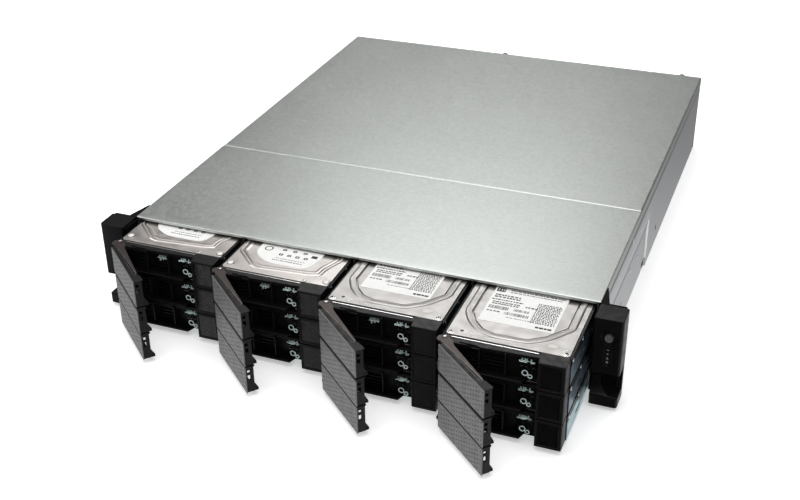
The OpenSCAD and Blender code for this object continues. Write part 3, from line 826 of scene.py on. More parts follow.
def tray_front(reflected_dots):
    """The black front: end block (with or without lighter domes that paint the reflection of a neighbour's drilled
    handle), hollow with ribs and vents, bar, lip and hinge post.
    """
    s = Shape()
    block = [(BLOCK_L, 0.9), (BLOCK_R - 0.2, 0.9), (BLOCK_R, 1.3), (BLOCK_R, FRONT_D), (BLOCK_BACK_L, FRONT_D)]
    s.prism(block, (0, BLOCK_H), TRAY)
    inset_l, inset_r = BLOCK_L + 1.8, BLOCK_R - 2.6
    opening = rounded((inset_l, inset_r), (2.2, BLOCK_H - 2.4), 0.8, 3)
    s.box((BLOCK_L, BLOCK_R - 0.3), (0, BLOCK_H), (0, 1.1), TRAY, "y", [opening])
    s.prism(rounded((inset_l - 0.2, inset_r + 0.2), (2.0, BLOCK_H - 2.2), 0.8, 3), (0.7, 1.2), GLOSS, "y")
    s.box((inset_r - 0.7, inset_r - 0.3), (2.6, BLOCK_H - 2.8), (0.45, 0.75), TRAY, "y")
    # Lighter domes: painted reflection of the drilled handle beside this block.
    if reflected_dots:
        for i in range(5):
            for k in range(9):
                x, z = inset_l + 2.2 + 3.4 * i + 1.7 * (k % 2), 4.4 + 2.1 * k
                if x < inset_r - 2:
                    s.turned((x, z), [(0.8, 0.75), (0.6, 0.45), (0.2, 0.35)], DOT_REFLECTION, "y", 8)
    vents = []
    for left, right in ((-42.2, -22), (-17.2, -0.4)):
        vents += [rounded((left, right), (z, z + 1.9), 0.9, 3) for z in (3.4, 6.8, 10.2, 13.6, 17.0)]
    s.box((WALL_L, BLOCK_BACK_L + 1), (0, BEAM_TOP), (13, FRONT_D), TRAY, "y", vents)
    for x in (-19.6, 1.8):
        s.prism([(6.2, 3.2), (13.4, 3.2), (13.4, BEAM_TOP - 1), (5.4, BEAM_TOP - 1), (6.2, 18)], (x - 0.6, x + 0.6),
                TRAY, "x")
    lip = [(WALL_L, 4), (16, 4), (18.4, 11.6), (BLOCK_BACK_L + 1.2, 11.6), (BLOCK_BACK_L + 1, FRONT_D - 0.2),
           (WALL_L, FRONT_D - 0.2)]
    s.prism(lip, (0, 1.2), TRAY)
    s.box((WALL_L, 15.6), (4, 4.9), (1, 1.5), TRAY)
    slot = [(u, v - 0.04 * (u + 28)) for u, v in rounded((-36, -20), (6.9, 8.5), 0.7, 4)]
    bar = [(-45.6, 5.5), (BLOCK_L - 0.2, 8.5), (BLOCK_BACK_L + 1, FRONT_D - 2.2), (-45.6, FRONT_D - 2.2)]
    s.prism(bar, (BEAM_LOW, BEAM_TOP), TRAY, "z", [slot])
    s.prism([(-37, 6.5), (-19, 5.9), (-19, 9.4), (-37, 10)], (BEAM_LOW + 0.2, BEAM_TOP - 1.4), GLOSS)
    s.box((WALL_L, -44.6), (5.5, 14), (3.1, BEAM_TOP), TRAY)
    s.box((WALL_L, WALL_L + 1.4), (8, 14), (0.4, 1.5), TRAY)
    return s.mesh("tray_front")


def latch():
    """Dark spring strips at the back of the hollow, with plated wire rings that are rolled forward at the top; the
    rings' pale teal-white colour is a painted highlight.
    """
    s = Shape()
    path = [(12.7, 3.6), (12.7, 6.9), (12.6, 10.2), (12.1, 13.3), (10.8, 16.2), (8.6, 18.3), (5.9, 19.0)]
    for k, (a, b) in enumerate(zip(path, path[1:])):
        low, along = Vector(a), Vector(b) - Vector(a)
        length = along.length
        along.normalize()
        back = Vector((-along.y, along.x))

        def place(u, v, w):
            spot = low + along * v + back * w
            return (u, spot.x, spot.y)

        shift = 1.1 * (k % 2)
        bores = [ring((13.5 + shift + 3.1 * i, length / 2), 1.15, 10) for i in range(4)]
        s.box((11.8, 25.6), (-0.12, length + 0.12), (-0.3, 0.3), GLOSS, place, bores)
        for i in range(4):
            if (2 * i + k) % 3:
                middle = (13.4 + shift + 3.1 * i, length / 2)
                s.prism(ring(middle, 1.7, 14), (-0.8, -0.35), LATCH_HIGHLIGHT, place, [ring(middle, 1.15, 14)])
    for x, z, size in ((17.4, 7.4, 2.7), (21.6, 5.0, 2.0), (16.0, 20.0, 1.8), (20.4, 20.2, 2.2)):
        s.prism(ring((x, z), size, 20), (8.8, 9.4), LATCH_HIGHLIGHT, "y", [ring((x, z), size - 0.8, 20)])
    return s.mesh("tray_latch")


def highlight_cap():
    """The bright oval end of the spring in a lowest tray, a pale piece placed only there to stand for a white
    highlight: painted highlight.
    """
    s = Shape()
    s.prism(ellipse((18.4, 7.4), 3.7, 2.1, 24), (19.1, 19.6, 20.2), LATCH_HIGHLIGHT, "z", [ring((17.6, 7.6), 0.8, 12)])
    s.prism([(13.4, 8), (15.2, 7.4), (16, 9.2), (14.2, 10.4)], (17.6, 18.5), LATCH_HIGHLIGHT)
    return s.mesh("tray_spring_cap")


def highlight_spring():
    """A small bright spring between the ribs of the upper left trays, placed only there to stand for a bright
    reflection: painted highlight.
    """
    s = Shape()
    for k in range(3):
        x = -9.4 + 2.9 * k
        s.turned((x, 12.4), [(0.3, 12.0 + k), (0.75, 12.6 + k), (0.75, 18.4), (0.2, 19.2)], LATCH_HIGHLIGHT, "z", 14)
    s.prism(softened([(-10.6, 9.4), (-1.6, 9.4), (-1.6, 12.8), (-10.6, 12.8)], 0.8), (16.6, 17.3), LATCH_HIGHLIGHT)
    return s.mesh("tray_highlight_spring")


def tray_steel(finish):
    """The tray's sheet metal: side plates under black runners, a flange behind the bar, and its screws."""
    s = Shape()
    half, thick = 52.3, 1.2
    low, high, near, far = 0.2, 17.6, 15.0, 153
    for side in (-1, 1):
        slots = [rounded((y, y + 15), (6.2, 9.0), 1.3, 4) for y in (44, 74, 104)]
        outline = [(near, low), (far - 4, low), (far, low + 4), (far, high), (near, high)]
        s.prism(outline, mirrored(side, half - thick, half), finish, "x", slots)
        s.box(mirrored(side, half - 0.6, half - 5), (near, far - 6), (low, low + 0.9), finish)
        runner = [(near, high), (far - 2, high), (far, high + 2), (far, 23.2), (far - 8, 24.3), (near, 24.3)]
        s.prism(softened(runner, 0.8), mirrored(side, half - thick, half - 0.05), TRAY, "x")
        for y in (20.5, 52.5, 118.0):
            head = [(2.2, half - 0.6), (2.2, half - 0.02), (1.9, half + 0.22), (1.2, half + 0.42), (0.3, half + 0.5)]
            s.stud(side, (y, 20.9), head, BRIGHT, 20)
    s.box((-44.4, 26.6), (12.9, 13.8), (BEAM_TOP - 1, BEAM_TOP + 0.5), BRIGHT)
    s.box((-50.8, 50.8), (14.9, 15.3), (1, 20), TRAY)
    for y in ((15, 24), (140, 152)):
        s.box((-50.5, 50.5), y, (0.2, 0.8), finish)
    s.turned((HINGE_X, HINGE_Y), [(1.5, 0.5), (1.5, 26.05), (2.3, 26.05), (2.3, 26.35), (1.5, 26.5)], LEVER, "z", 24)
    s.turned((HINGE_X, HINGE_Y), [(1.4, 26.4), (1.4, 26.55), (0.9, 26.7), (0.2, 26.7)], NICKEL, "z", 20)
    s.prism(softened([(-50.4, 13.2), (-44.6, 13.2), (-44.6, 15.0), (-50.4, 15.0)], 0.8), (23.7, 24.6), LEVER)
    return s.mesh("tray_steel")


# ---------------------------------------------------------------- handles

FACE_L, FACE_R, FACE_Y = 7.5, 77.4, -10.1
HANDLE_H = 26.0
FACE_SPANS = ((1.3, HANDLE_H), (0.4, HANDLE_H - 1.6), (0.2, HANDLE_H - 0.3))


def face_holes(low, high):
    """Rows of small staggered holes over a handle's face."""
    pitch, rise, radius = 8.2, 2.05, 0.74
    rows, z, shift = [], low + 1.9, 0
    while z < high - 1.5:
        x = FACE_L + 1.8 + shift * pitch / 2
        while x < FACE_R - 1.6:
            rows.append(ring((x, z), radius, 8))
            x += pitch
        z += rise
        shift = 1 - shift
    return rows


def handle_face(low, high):
    """The grey outer skin, drilled all over, between two heights above the handle's foot."""
    s = Shape()
    outline = rectangle((FACE_L, FACE_R), (low, high))
    s.prism(outline, (FACE_Y, FACE_Y + 0.25, FACE_Y + 0.7), FACE, "y", face_holes(low, high))
    backing = rectangle((FACE_L + 0.5, FACE_R - 1.5), (low + 0.5, HANDLE_H - 1))
    s.prism(backing, (FACE_Y + 0.7, FACE_Y + 1.2), GLOSS, "y")
    return s.mesh("handle_face")


def handle_grip():
    """The black plastic behind the skin: ledges, end wall with windows, and the hook at its foot."""
    s = Shape()
    back = -7.1
    ledge = [(FACE_L, FACE_Y + 0.5), (FACE_R - 0.9, FACE_Y + 0.5), (76.5, -1.9), (75.6, -0.8), (66.8, -1.6),
             (63.5, -6.0), (FACE_L, -5.6)]
    s.prism(ledge, (HANDLE_H - 1.2, HANDLE_H - 0.15), LEDGE)
    for x in (14, 26, 38, 50):
        s.box((x, x + 9), (-8.6, -7.2), (HANDLE_H - 0.2, HANDLE_H + 0.02), LEDGE)
    s.box((FACE_L, FACE_R - 1.5), (FACE_Y + 0.4, back), (0.02, 1.2), TRAY)
    s.box((FACE_L, FACE_L + 1.4), (FACE_Y + 0.9, back), (0.5, HANDLE_H - 0.5), TRAY)
    outer = FACE_R - 1.0
    windows = [rounded((-8.0, -5.4), span, 0.4, 3) for span in ((12.8, 17.4), (19.6, 22.4))]
    s.box((-9.4, -2.2), (0.3, HANDLE_H - 0.3), (outer - 1.6, outer), TRAY, "x", windows)
    s.box((-9.4, -2.2), (HANDLE_H - 1.2, HANDLE_H - 0.05), (65, outer - 0.2), LEDGE, "x")
    hook = [(-9.4, 0), (-1.2, 0), (1.4, 1.0), (1.4, 2.0), (-2.2, 8.4), (-9.4, 8.4)]
    s.prism(hook, (outer - 2.6, outer - 1.2), LEDGE, "x")
    s.prism([(-9.4, 0.02), (1.3, 0.02), (1.3, 1.4), (-9.4, 1.4)], (70, outer - 0.6), LEDGE, "x")
    return s.mesh("handle_grip")


def handle_lever():
    """The steel lever: two plates round the pin, joined along the front by a fold."""
    s = Shape()
    plate = [(-2.9, 0.5), (-1.7, 2.4), (2.0, 2.9), (7.6, 3.0), (12.6, 0.8), (15, 0.3), (40, -1.1), (63, -2.3),
             (65, -3.4), (65, -5.8), (8.4, -5.5), (6.5, -6.3), (3.2, -6.0), (1.2, -7.3), (-1.2, -7.0), (-3.8, -4.0)]
    plate = softened(plate, 0.5, 2)
    for z in (1.6, HANDLE_H - 1.2):
        s.prism(plate, (z, z + 1.18), LEVER)
    s.box((8.6, 63), (1.7, HANDLE_H - 0.2), (-6.9, -6.2), LEVER, "y")
    top = HANDLE_H - 0.03
    # Two thin lighter strips along the top edge: painted highlight lines.
    s.prism([(8.4, -5.9), (64.6, -6.2), (64.6, -5.85), (8.4, -5.5)], (top - 0.1, top + 0.3), LEVER_EDGE_HIGHLIGHT)
    s.prism([(11, -5.3), (63.4, -3.6), (63.4, -3.2), (11, -4.9)], (top - 0.1, top + 0.26), LEVER_EDGE_HIGHLIGHT)
    s.prism([(10, -5.45), (64, -5.75), (63.4, -3.8), (12, -5.35)], (top - 0.1, top + 0.08), LEDGE)
    return s.mesh("handle_lever")


# ---------------------------------------------------------------- disk drives

DRIVE_FRONT, DRIVE_L, DRIVE_HALF = 15.4, 147.0, 50.8
DRIVE_FLOOR = 1.0
COVER_Z = 25.4
SOCKET_L, SOCKET_R, SOCKET_DEPTH = -31.6, 4.6, 6.5
SIDE_HOLES = (28, 87, 131)
PRINT = 0.03


def drive_case(s):
    """The cast tub with its screw holes, board and connector."""
    back = DRIVE_FRONT + DRIVE_L
    low, high = DRIVE_FLOOR, COVER_Z - 2.4
    outline = rounded((-DRIVE_HALF, DRIVE_HALF), (DRIVE_FRONT, back), 2.2, 4)
    s.prism(outline, (low + 8.2, high), CAST)
    inner = back - SOCKET_DEPTH
    notched = [(-DRIVE_HALF, DRIVE_FRONT), (DRIVE_HALF, DRIVE_FRONT), (DRIVE_HALF, back), (SOCKET_R, back),
               (SOCKET_R, inner), (SOCKET_L, inner), (SOCKET_L, back), (-DRIVE_HALF, back)]
    s.prism(notched, (low + 2.0, low + 8.2), CAST)
    s.box((-DRIVE_HALF + 0.8, DRIVE_HALF - 0.8), (DRIVE_FRONT + 0.8, DRIVE_FRONT + 12), (low, low + 2.2), CAST)
    for side in (-1, 1):
        s.box(mirrored(side, DRIVE_HALF - 7, DRIVE_HALF - 0.3), (DRIVE_FRONT + 10, back - 2), (low, low + 2.2), CAST)
    s.box((-42, 42), (DRIVE_FRONT + 30, back - 6.5), (low + 0.6, low + 2.2), BOARD)
    s.box((SOCKET_L + 1, SOCKET_R - 1), (back - 7, inner + 0.4), (low + 1.4, low + 6.4), DARK)
    for side in (-1, 1):
        for y in SIDE_HOLES:
            bore = [(1.9, DRIVE_HALF - 0.5), (1.9, DRIVE_HALF + 0.02), (1.2, DRIVE_HALF + 0.03)]
            s.stud(side, (DRIVE_FRONT + y, low + 6.4), bore, DARK, 16)


def on_cover(s, spot, profile, material, sides):
    """A turned feature on a drive, whose heights are measured from its cover."""
    s.turned(spot, [(r, COVER_Z + h) for r, h in profile], material, "z", sides)


def dashes(s, rng, z, x, y, height, ink, shortest=0.7, longest=3.4):
    """A row of plain dashes that stands for a printed line."""
    u = x[0]
    while u < x[1]:
        length = rng.uniform(shortest, longest)
        end = min(x[1], u + length)
        if end - u > 0.3:
            s.box((u, end), (y, y + height), (z, z + PRINT), ink)
        u = end + rng.uniform(0.4, 1.1)


def bars(s, rng, z, x, y, ink):
    """Upright bars of uneven width."""
    u = x[0]
    while u < x[1]:
        width = rng.choice((0.3, 0.5, 0.8))
        s.box((u, u + width), y, (z, z + PRINT), ink)
        u += width + rng.choice((0.3, 0.5, 0.7))


def print_rows(s, rng, z, rows):
    """Rows of dashes, or of bars where a row gives both of its heights."""
    for x, y, *rest in rows:
        (bars if isinstance(y, tuple) else dashes)(s, rng, z, x, y, *rest)


def pressed_cover(s, corners, radius, detail, steps, top, material):
    """A drive's cover with nested contours pressed into it; steps list (distance inwards, height)."""
    levels = [(softened(inset(corners, d), max(0.5, radius - d), detail), COVER_Z + h) for d, h in ((0, -2.2), *steps)]
    s.loft(levels, material)
    plate = rounded((-DRIVE_HALF + 0.5, DRIVE_HALF - 0.5), (DRIVE_FRONT + 0.3, DRIVE_FRONT + DRIVE_L - 12), 2.6, 4)
    s.prism(plate, (COVER_Z - 2.3, COVER_Z + top), material, "z", [levels[0][0]])


def grey_drive():
    """Drive with a rounded pressed ring, dark star-drive screws, two small marks and an oval sticker."""
    s = Shape()
    drive_case(s)
    corners = [(-41.6, 130), (-46.2, 120), (-46.2, 52), (-39.0, 37.5), (-28.6, 26.2), (-15.0, 21.4), (15.6, 22.2),
               (31.0, 33.0), (46.2, 53.0), (46.2, 118), (40.6, 130)]
    ridge = ((0, -0.2), (0.4, 0.4), (1.0, 0.75), (2.4, 0.75), (4.6, 0.3), (5.8, 0.25), (5.9, -1.8), (7.2, -1.8),
             (7.3, -0.35), (8.0, -0.35))
    pressed_cover(s, corners, 6, 5, ridge, 0, COVER_B)
    for spot in ((-46.6, 18.4), (46.6, 18.6), (-48, 146), (48, 146)):
        on_cover(s, spot, [(2.8, -0.3), (2.8, 0.08), (2.1, 0.12), (2.1, 0.5), (1.6, 0.75), (0.3, 0.8)], NICKEL, 20)
        on_cover(s, spot, [(0.9, 0.7), (0.9, 0.83), (0.3, 0.84)], DARK, 6)
    on_cover(s, (-38.8, 22.8), [(1.7, -0.4), (1.7, 0.03), (0.6, 0.04)], DARK, 18)
    for x, y in ((-31.2, 19.8), (44.8, 22.6)):
        s.prism(rounded((x - 1.8, x + 1.8), (y - 1.8, y + 1.8), 0.4, 3), (COVER_Z - 0.1, COVER_Z + 0.1), PAPER)
        for d in (-0.8, 0.8):
            on_cover(s, (x + d, y - d * 0.4), [(0.55, 0), (0.55, 0.13), (0.2, 0.13)], INK, 10)
    s.prism(ellipse((34.4, 26), 4.4, 3.2, 28), (COVER_Z - 0.1, COVER_Z + 0.12), STICKER)
    return s.mesh("grey_drive")


def grey_label():
    """A rectangular label with plain dashes, bars and a block in place of its print."""
    s = Shape()
    rng = random.Random(4)
    z = COVER_Z - 0.35
    s.prism(rounded((-32.5, 30), (43.6, 101), 1.2, 4), (z - 0.1, z + 0.14), PAPER)
    top = z + 0.13
    s.prism(rounded((-31, -23.6), (90.5, 96.5), 0.5, 3), (top, top + PRINT), INK)
    for x in (-29.6, -27.2, -25.2):
        s.box((x, x + 0.7), (91.8, 95.2), (top + 0.025, top + 0.045), PAPER)
    print_rows(s, rng, top, [
        ((-19, 27), 94.4, 1.5, INK), ((-19, 25), 91.4, 1.2, FAINT),
        *(((-30, -8), y, 1.9, INK, 1.4, 3.0) for y in (84.6, 81.4)),
        ((-31, -4), 77.4, 1.5, INK, 1.0, 2.6), ((-1, 8), 72.6, 1.8, INK, 1.4, 2.6),
        *(((8, 28), 81.4 - 2.2 * k, 1.5, INK, 0.7, 1.6) for k in range(14)),
        *(((-29, -6), y, 1.6, INK, 1.2, 2.4) for y in (73.6, 70.8)),
        ((-30, -13), (63.5, 68.5), INK), ((-9, 4), (64.5, 68.0), FAINT),
        ((-30, -19), 59.0, 1.6, INK, 1.6, 2.8), ((-15, 5), (57.5, 61.5), INK),
        ((-12, 8), 53.4, 0.9, FAINT), ((14, 28), 46.4, 2.4, INK, 2.2, 3.6),
    ])
    return s.mesh("grey_drive_label")


def warm_drive():
    """Drive with nested angular pressings, domed pale screws and two dark slots."""
    s = Shape()
    drive_case(s)
    corners = [(-49.0, 46), (-28.2, 25.2), (-18.4, 21.8), (28, 25.8), (38.4, 29), (39.4, 40), (46, 58), (46, 126),
               (-49.0, 126)]
    steps = ((0, -0.5), (0.6, 0.2), (1.2, 0.45), (2.4, 0.45), (2.9, 0.3), (3.0, -1.3), (3.9, -1.3), (4.0, -0.1),
             (5.2, 0.15), (6.6, 0.15), (7.6, -0.3), (7.9, -0.3))
    pressed_cover(s, corners, 3.0, 4, steps, -0.3, COVER_A)
    for spot in ((-45.4, 23.6), (47.2, 21.6), (-46, 84), (48, 84), (-46, 146), (46, 146)):
        on_cover(s, spot, [(3.6, -0.6), (3.6, -0.2)], DARK, 24)
        on_cover(s, spot, [(3.0, -0.4), (3.0, 0.1), (2.6, 0.5), (1.8, 0.9), (0.3, 1.0)], RIVET, 20)
    s.prism(rounded((-42.6, -40.6), (22.6, 29.6), 0.9, 4), (COVER_Z - 0.5, COVER_Z - 0.37), DARK)
    s.prism(softened([(34, 24.4), (45, 28.6), (45.6, 27.2), (39, 23.6)], 0.6), (COVER_Z - 0.5, COVER_Z - 0.36), DARK)
    on_cover(s, (28.4, 17.8), [(1.6, -0.5), (1.6, 0.2), (1.0, 0.5), (0.2, 0.5)], NICKEL, 16)
    return s.mesh("warm_drive")


def warm_label():
    """A half-oval label with a plain ring, blocks and dashes in place of its print."""
    s = Shape()
    rng = random.Random(9)
    z = COVER_Z - 0.3
    outline = [(-34, 96), (-34, 56), (-33.2, 50), (-29.6, 44.6), (-24.6, 40.4), (-18, 36.8), (-11, 34.9), (16, 34.8),
               (20.4, 36.6), (22.8, 40), (24.8, 46), (26.4, 54), (26.4, 96)]
    s.prism(softened(outline, 2.0, 3), (z - 0.1, z + 0.14), PAPER)
    top = z + 0.13
    s.prism(ring((-25, 58), 4.0, 24), (top, top + 0.02), INK)
    s.prism(ring((-25, 58), 2.9, 24), (top + 0.015, top + 0.035), PAPER)
    for xs, y, corner, hole in (((-12, -4, 4, 12), (49.6, 53.0), 0.8, 0.8), ((-12, -2, 8), (58.0, 61.2), 0.9, 0.7)):
        for x in xs:
            s.prism(rounded((x, x + 3.8), y, corner, 3), (top, top + PRINT), INK, "z",
                    [ring((x + 1.9, sum(y) / 2), hole, 12)])
    s.prism(rounded((17.4, 23), (54, 58.4), 0.5, 3), (top, top + PRINT), INK)
    print_rows(s, rng, top, [
        ((-12, 16), 44.2, 0.9, INK, 0.8, 2.2), ((-14, 15), 40.6, 1.2, INK, 0.8, 2.0),
        *(((-28, 20), y, 1.1, FAINT) for y in (66, 70, 74)),
    ])
    return s.mesh("warm_drive_label")


# ---------------------------------------------------------------- bays

def make_bays():
    """Twelve trays, each with its handle and its drive, that share their meshes."""
    fronts = {reflected_dots: tray_front(reflected_dots) for reflected_dots in (True, False)}
    catch, spring, cap = latch(), highlight_spring(), highlight_cap()
    # Lowest row's rails get the lighter zinc, the upper rows the darker copy: painted light.
    steel = {r: tray_steel(RAIL_LIT if r == LOW_ROW else RAIL_SHADED) for r in ROWS}
    faces = {r: handle_face(*span) for r, span in zip(ROWS, FACE_SPANS)}
    grip, lever = handle_grip(), handle_lever()
    warm, grey = (warm_drive(), warm_label()), (grey_drive(), grey_label())
    joints = {j["name"]: j for j in frame["joints"]}
    for c in COLUMNS:
        for r in ROWS:
            bay = f"c{c}_r{r}"
            lo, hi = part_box(f"tray_{bay}")
            middle = (lo.x + hi.x) / 2
            at = Matrix.Translation((middle, lo.y, lo.z))
            carrier = f"carrier_{bay}"
            front = fronts[c in REFLECTED_DOT_COLUMNS]
            piece(f"tray_front_{bay}", front, carrier, [f"tray_{bay}"], at, 0.35)
            piece(f"tray_latch_{bay}", catch, carrier, at=at)
            # Bright pieces only in the trays where highlights fall: painted highlights.
            if r == TOP_ROW and c in HIGHLIGHT_COLUMNS:
                piece(f"tray_spring_{bay}", spring, carrier, at=at)
            if r == LOW_ROW:
                piece(f"tray_spring_{bay}", cap, carrier, at=at)
            piece(f"tray_steel_{bay}", steel[r], carrier, at=at, bevel=0.12, segments=1)
            swing = joints[f"handle_{bay}_swing"]
            pin = Vector((*swing["pos_m"][:2], lo.z))
            turn = Matrix.Translation(pin) @ Matrix.Rotation(math.radians(swing["range_deg"][0]), 4, "Z")
            lever_body = f"lever_{bay}"
            piece(f"handle_face_{bay}", faces[r], lever_body, [f"handle_{bay}"], turn)
            piece(f"handle_grip_{bay}", grip, lever_body, at=turn, bevel=0.25)
            piece(f"handle_lever_{bay}", lever, lever_body, at=turn, bevel=0.18)
            case, label = warm if c in WARM_COLUMNS else grey
            piece(f"drive_{bay}_case", case, carrier, [f"drive_{bay}"], at, 0.28, 3)
            piece(f"drive_{bay}_label", label, carrier, at=at)


# ---------------------------------------------------------------- rear

PSU_W, PSU_H, PSU_L = 101.0, 34.5, 225.0
PSU_FAN, PSU_FAN_R = (28.0, PSU_H / 2), 14.5


def honeycomb(x, z, radius, pitch):
    """Staggered holes that fill a rectangle."""
    holes, rise, row = [], pitch * 0.87, 0
    v = z[0] + radius
    while v <= z[1] - radius:
        u = x[0] + radius + (row % 2) * pitch / 2
        while u <= x[1] - radius:
            holes.append(ring((u, v), radius, 6))
            u += pitch
        v += rise
        row += 1
    return holes


def blades(s, centre, count, radii, chord, lean, middle, material):
    """Curved fan blades round an axis along Y."""
    for k in range(count):
        levels = []
        start = 2 * math.pi * k / count
        for i in range(6):
            t = i / 5
            tilt = math.radians(lean[0] + (lean[1] - lean[0]) * t)
            edge, back = [], []
            for j in range(7):
                f = j / 6 - 0.5
                bow = 0.09 * chord * (1 - 4 * f * f)
                thick = 0.35 + 0.5 * (1 - 4 * f * f)
                edge.append((f * chord * math.cos(tilt), f * chord * math.sin(tilt) + bow + thick))
                back.append((f * chord * math.cos(tilt), f * chord * math.sin(tilt) + bow - thick))
            levels.append((edge + back[::-1], radii[0] + (radii[1] - radii[0]) * t))

        def place(u, v, w):
            turn = start + 0.35 * (w - radii[0]) / (radii[1] - radii[0]) + u / w
            return (centre[0] + w * math.cos(turn), middle + v, centre[1] + w * math.sin(turn))

        s.loft(levels, material, place)


def supply_case():
    """A power supply's sheet case, open behind its perforated rear plate; y is 0 at the rear."""
    s = Shape()
    outline = rounded((0, PSU_W), (0, PSU_H), 1.2, 4)
    s.prism(outline, (-PSU_L, -24), SUPPLY, "y")
    s.prism(outline, (-24, -1), SUPPLY, "y", [rectangle((1.2, PSU_W - 1.2), (1.2, PSU_H - 1.2))])
    holes = [ring(PSU_FAN, PSU_FAN_R, 40), rounded((58, 84), (8.8, 25.8), 2.0, 4), ring((93, 27.5), 1.7, 16)]
    holes += honeycomb((46.5, 56.5), (5, 30), 1.05, 2.9) + honeycomb((86.8, 99), (10, 24), 1.05, 2.9)
    s.prism(outline, (-1, 0), SUPPLY, "y", holes)
    s.prism(rounded((18, 82), (-118, -52), 1.5, 3), (PSU_H - 0.05, PSU_H + 0.04), PAPER)
    lines = [((22, 60 + 3 * k), -62 - 8 * k, 2.4, INK, 2.0, 6.0) for k in range(6)]
    print_rows(s, random.Random(12), PSU_H + 0.03, [*lines, ((62, 78), (-112, -104), INK)])
    head = [(2.4, PSU_H - 0.2), (2.4, PSU_H + 0.25), (1.6, PSU_H + 0.6), (0.3, PSU_H + 0.6)]
    for spot in ((6, -12), (95, -12), (6, -212), (95, -212), (6, -110), (95, -110)):
        s.turned(spot, head, BRIGHT, "z", 16)
    return s.mesh("supply_case")


def supply_fan(s):
    """A power supply's fan behind its wire guard."""
    x, z = PSU_FAN
    frame_outline = rounded((x - 16, x + 16), (1.4, PSU_H - 1.4), 1.5, 3)
    s.prism(frame_outline, (-22, -1.6), PLASTIC, "y", [ring(PSU_FAN, 15.2, 40)])
    s.turned(PSU_FAN, [(0.3, -3.2), (6.2, -3.2), (7.0, -3.9), (7.0, -16), (0.3, -16)], PLASTIC, "y", 32)
    blades(s, PSU_FAN, 7, (6.8, 14.6), 9.0, (48, 34), -9.5, PLASTIC)
    for radius in (4.4, 7.9, 11.4, 14.9):
        s.prism(ring(PSU_FAN, radius + 0.42, 40), (0.1, 0.95), BRIGHT, "y", [ring(PSU_FAN, radius - 0.42, 40)])
    for turn in (45, 135, 225, 315):
        s.prism(spoke(PSU_FAN, turn, 3.8, 18.4, 0.45), (0.05, 0.6), BRIGHT, "y")
        end = arc(PSU_FAN, 18.6, turn, turn, 1)[0]
        s.turned(end, [(1.7, 0), (1.7, 0.9), (1.1, 1.4), (0.2, 1.4)], BRIGHT, "y", 16)


def supply_inlet(s):
    """The mains inlet with its three pins."""
    cavity = [(60.6, 10.9), (81.4, 10.9), (81.4, 19.4), (77.8, 23.6), (64.2, 23.6), (60.6, 19.4)]
    cavity = softened(cavity, 0.9, 3)
    s.prism(rounded((56.8, 85.2), (7.6, 27.0), 2.6, 4), (0, 1.2), DARK, "y", [cavity])
    s.prism(rounded((58.2, 83.8), (9.0, 25.6), 2.0, 4), (-14, 0.1), DARK, "y", [cavity])
    s.prism(rounded((58.2, 83.8), (9.0, 25.6), 2.0, 4), (-14.8, -13.8), DARK, "y")
    for px, pz in ((65, 15.2), (71, 19.6), (77, 15.2)):
        s.prism(rounded((px - 1, px + 1), (pz - 2, pz + 2), 0.5, 3), (-14, -3.4), BRIGHT, "y")


def supply_grip(s):
    """The grip across the fan, with its feet."""
    z = PSU_FAN[1]
    grip = [(6.5, 0), (6.5, 14.6), (10, 18), (46, 18), (49.5, 14.6), (49.5, 0), (46.5, 0), (46.5, 13.4), (44.6, 15),
            (11.4, 15), (9.5, 13.4), (9.5, 0)]
    s.prism(softened(grip, 1.2, 3), (z - 4, z + 4), PLASTIC)
    for foot in (8, 48):
        s.prism(rounded((foot - 3.4, foot + 3.4), (z - 5, z + 5), 1.2, 4), (-0.2, 0.9), PLASTIC, "y")


def supply_fittings():
    """The fan, the mains inlet, the grip, the release catch and the lamp of a power supply."""
    s = Shape()
    supply_fan(s)
    supply_inlet(s)
    supply_grip(s)
    catch = softened([(-1, 1), (6.2, 1), (9, 2.8), (9, 6), (7.2, 6), (5.4, 3.6), (-1, 3.6)], 0.6, 2)
    s.prism(catch, (93, 99), CATCH, "x")
    for k in range(3):
        s.box((93.6, 98.4), (7.4, 9.15), (3.0 + 0.9 * k, 3.4 + 0.9 * k), CATCH)
    s.turned((93, 27.5), [(1.6, -1.5), (1.6, 0.3), (1.1, 0.7), (0.2, 0.8)], LAMP, "y", 16)
    return s.mesh("supply_fittings")


def make_supplies():
    """Two plug-in power supplies that share their meshes."""
    case, fittings = supply_case(), supply_fittings()
    for i in (1, 2):
        lo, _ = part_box(f"psu_{i}")
        at = Matrix.Translation((lo.x, REAR * MM, lo.z))
        piece(f"supply_case_{i}", case, f"supply_{i}", [f"psu_{i}"], at, 0.2)
        piece(f"supply_fittings_{i}", fittings, f"supply_{i}", at=at, bevel=0.15)


PANEL_LO, PANEL_HI = mm_box("rear_panel")
CAGE_LO, CAGE_HI = mm_box("psu_cage")
SCREWS = (-22, 196)
SCREW_Z = 82.5
PORT_WINDOW = ((-206, -56), (9, 45))
PORTS_LO, PORTS_HI = mm_box("io_ports")
NETWORK = [((-200 + 17 * i, -184.5 + 17 * i), (0, 13.5)) for i in range(4)]
USB = [((-130 + 16 * i, -116 + 16 * i), (0, 7.6)) for i in range(4)]
SCREEN = ((-130, -114), (9, 16))
SERIAL = ((-106, -74), (9, 20))


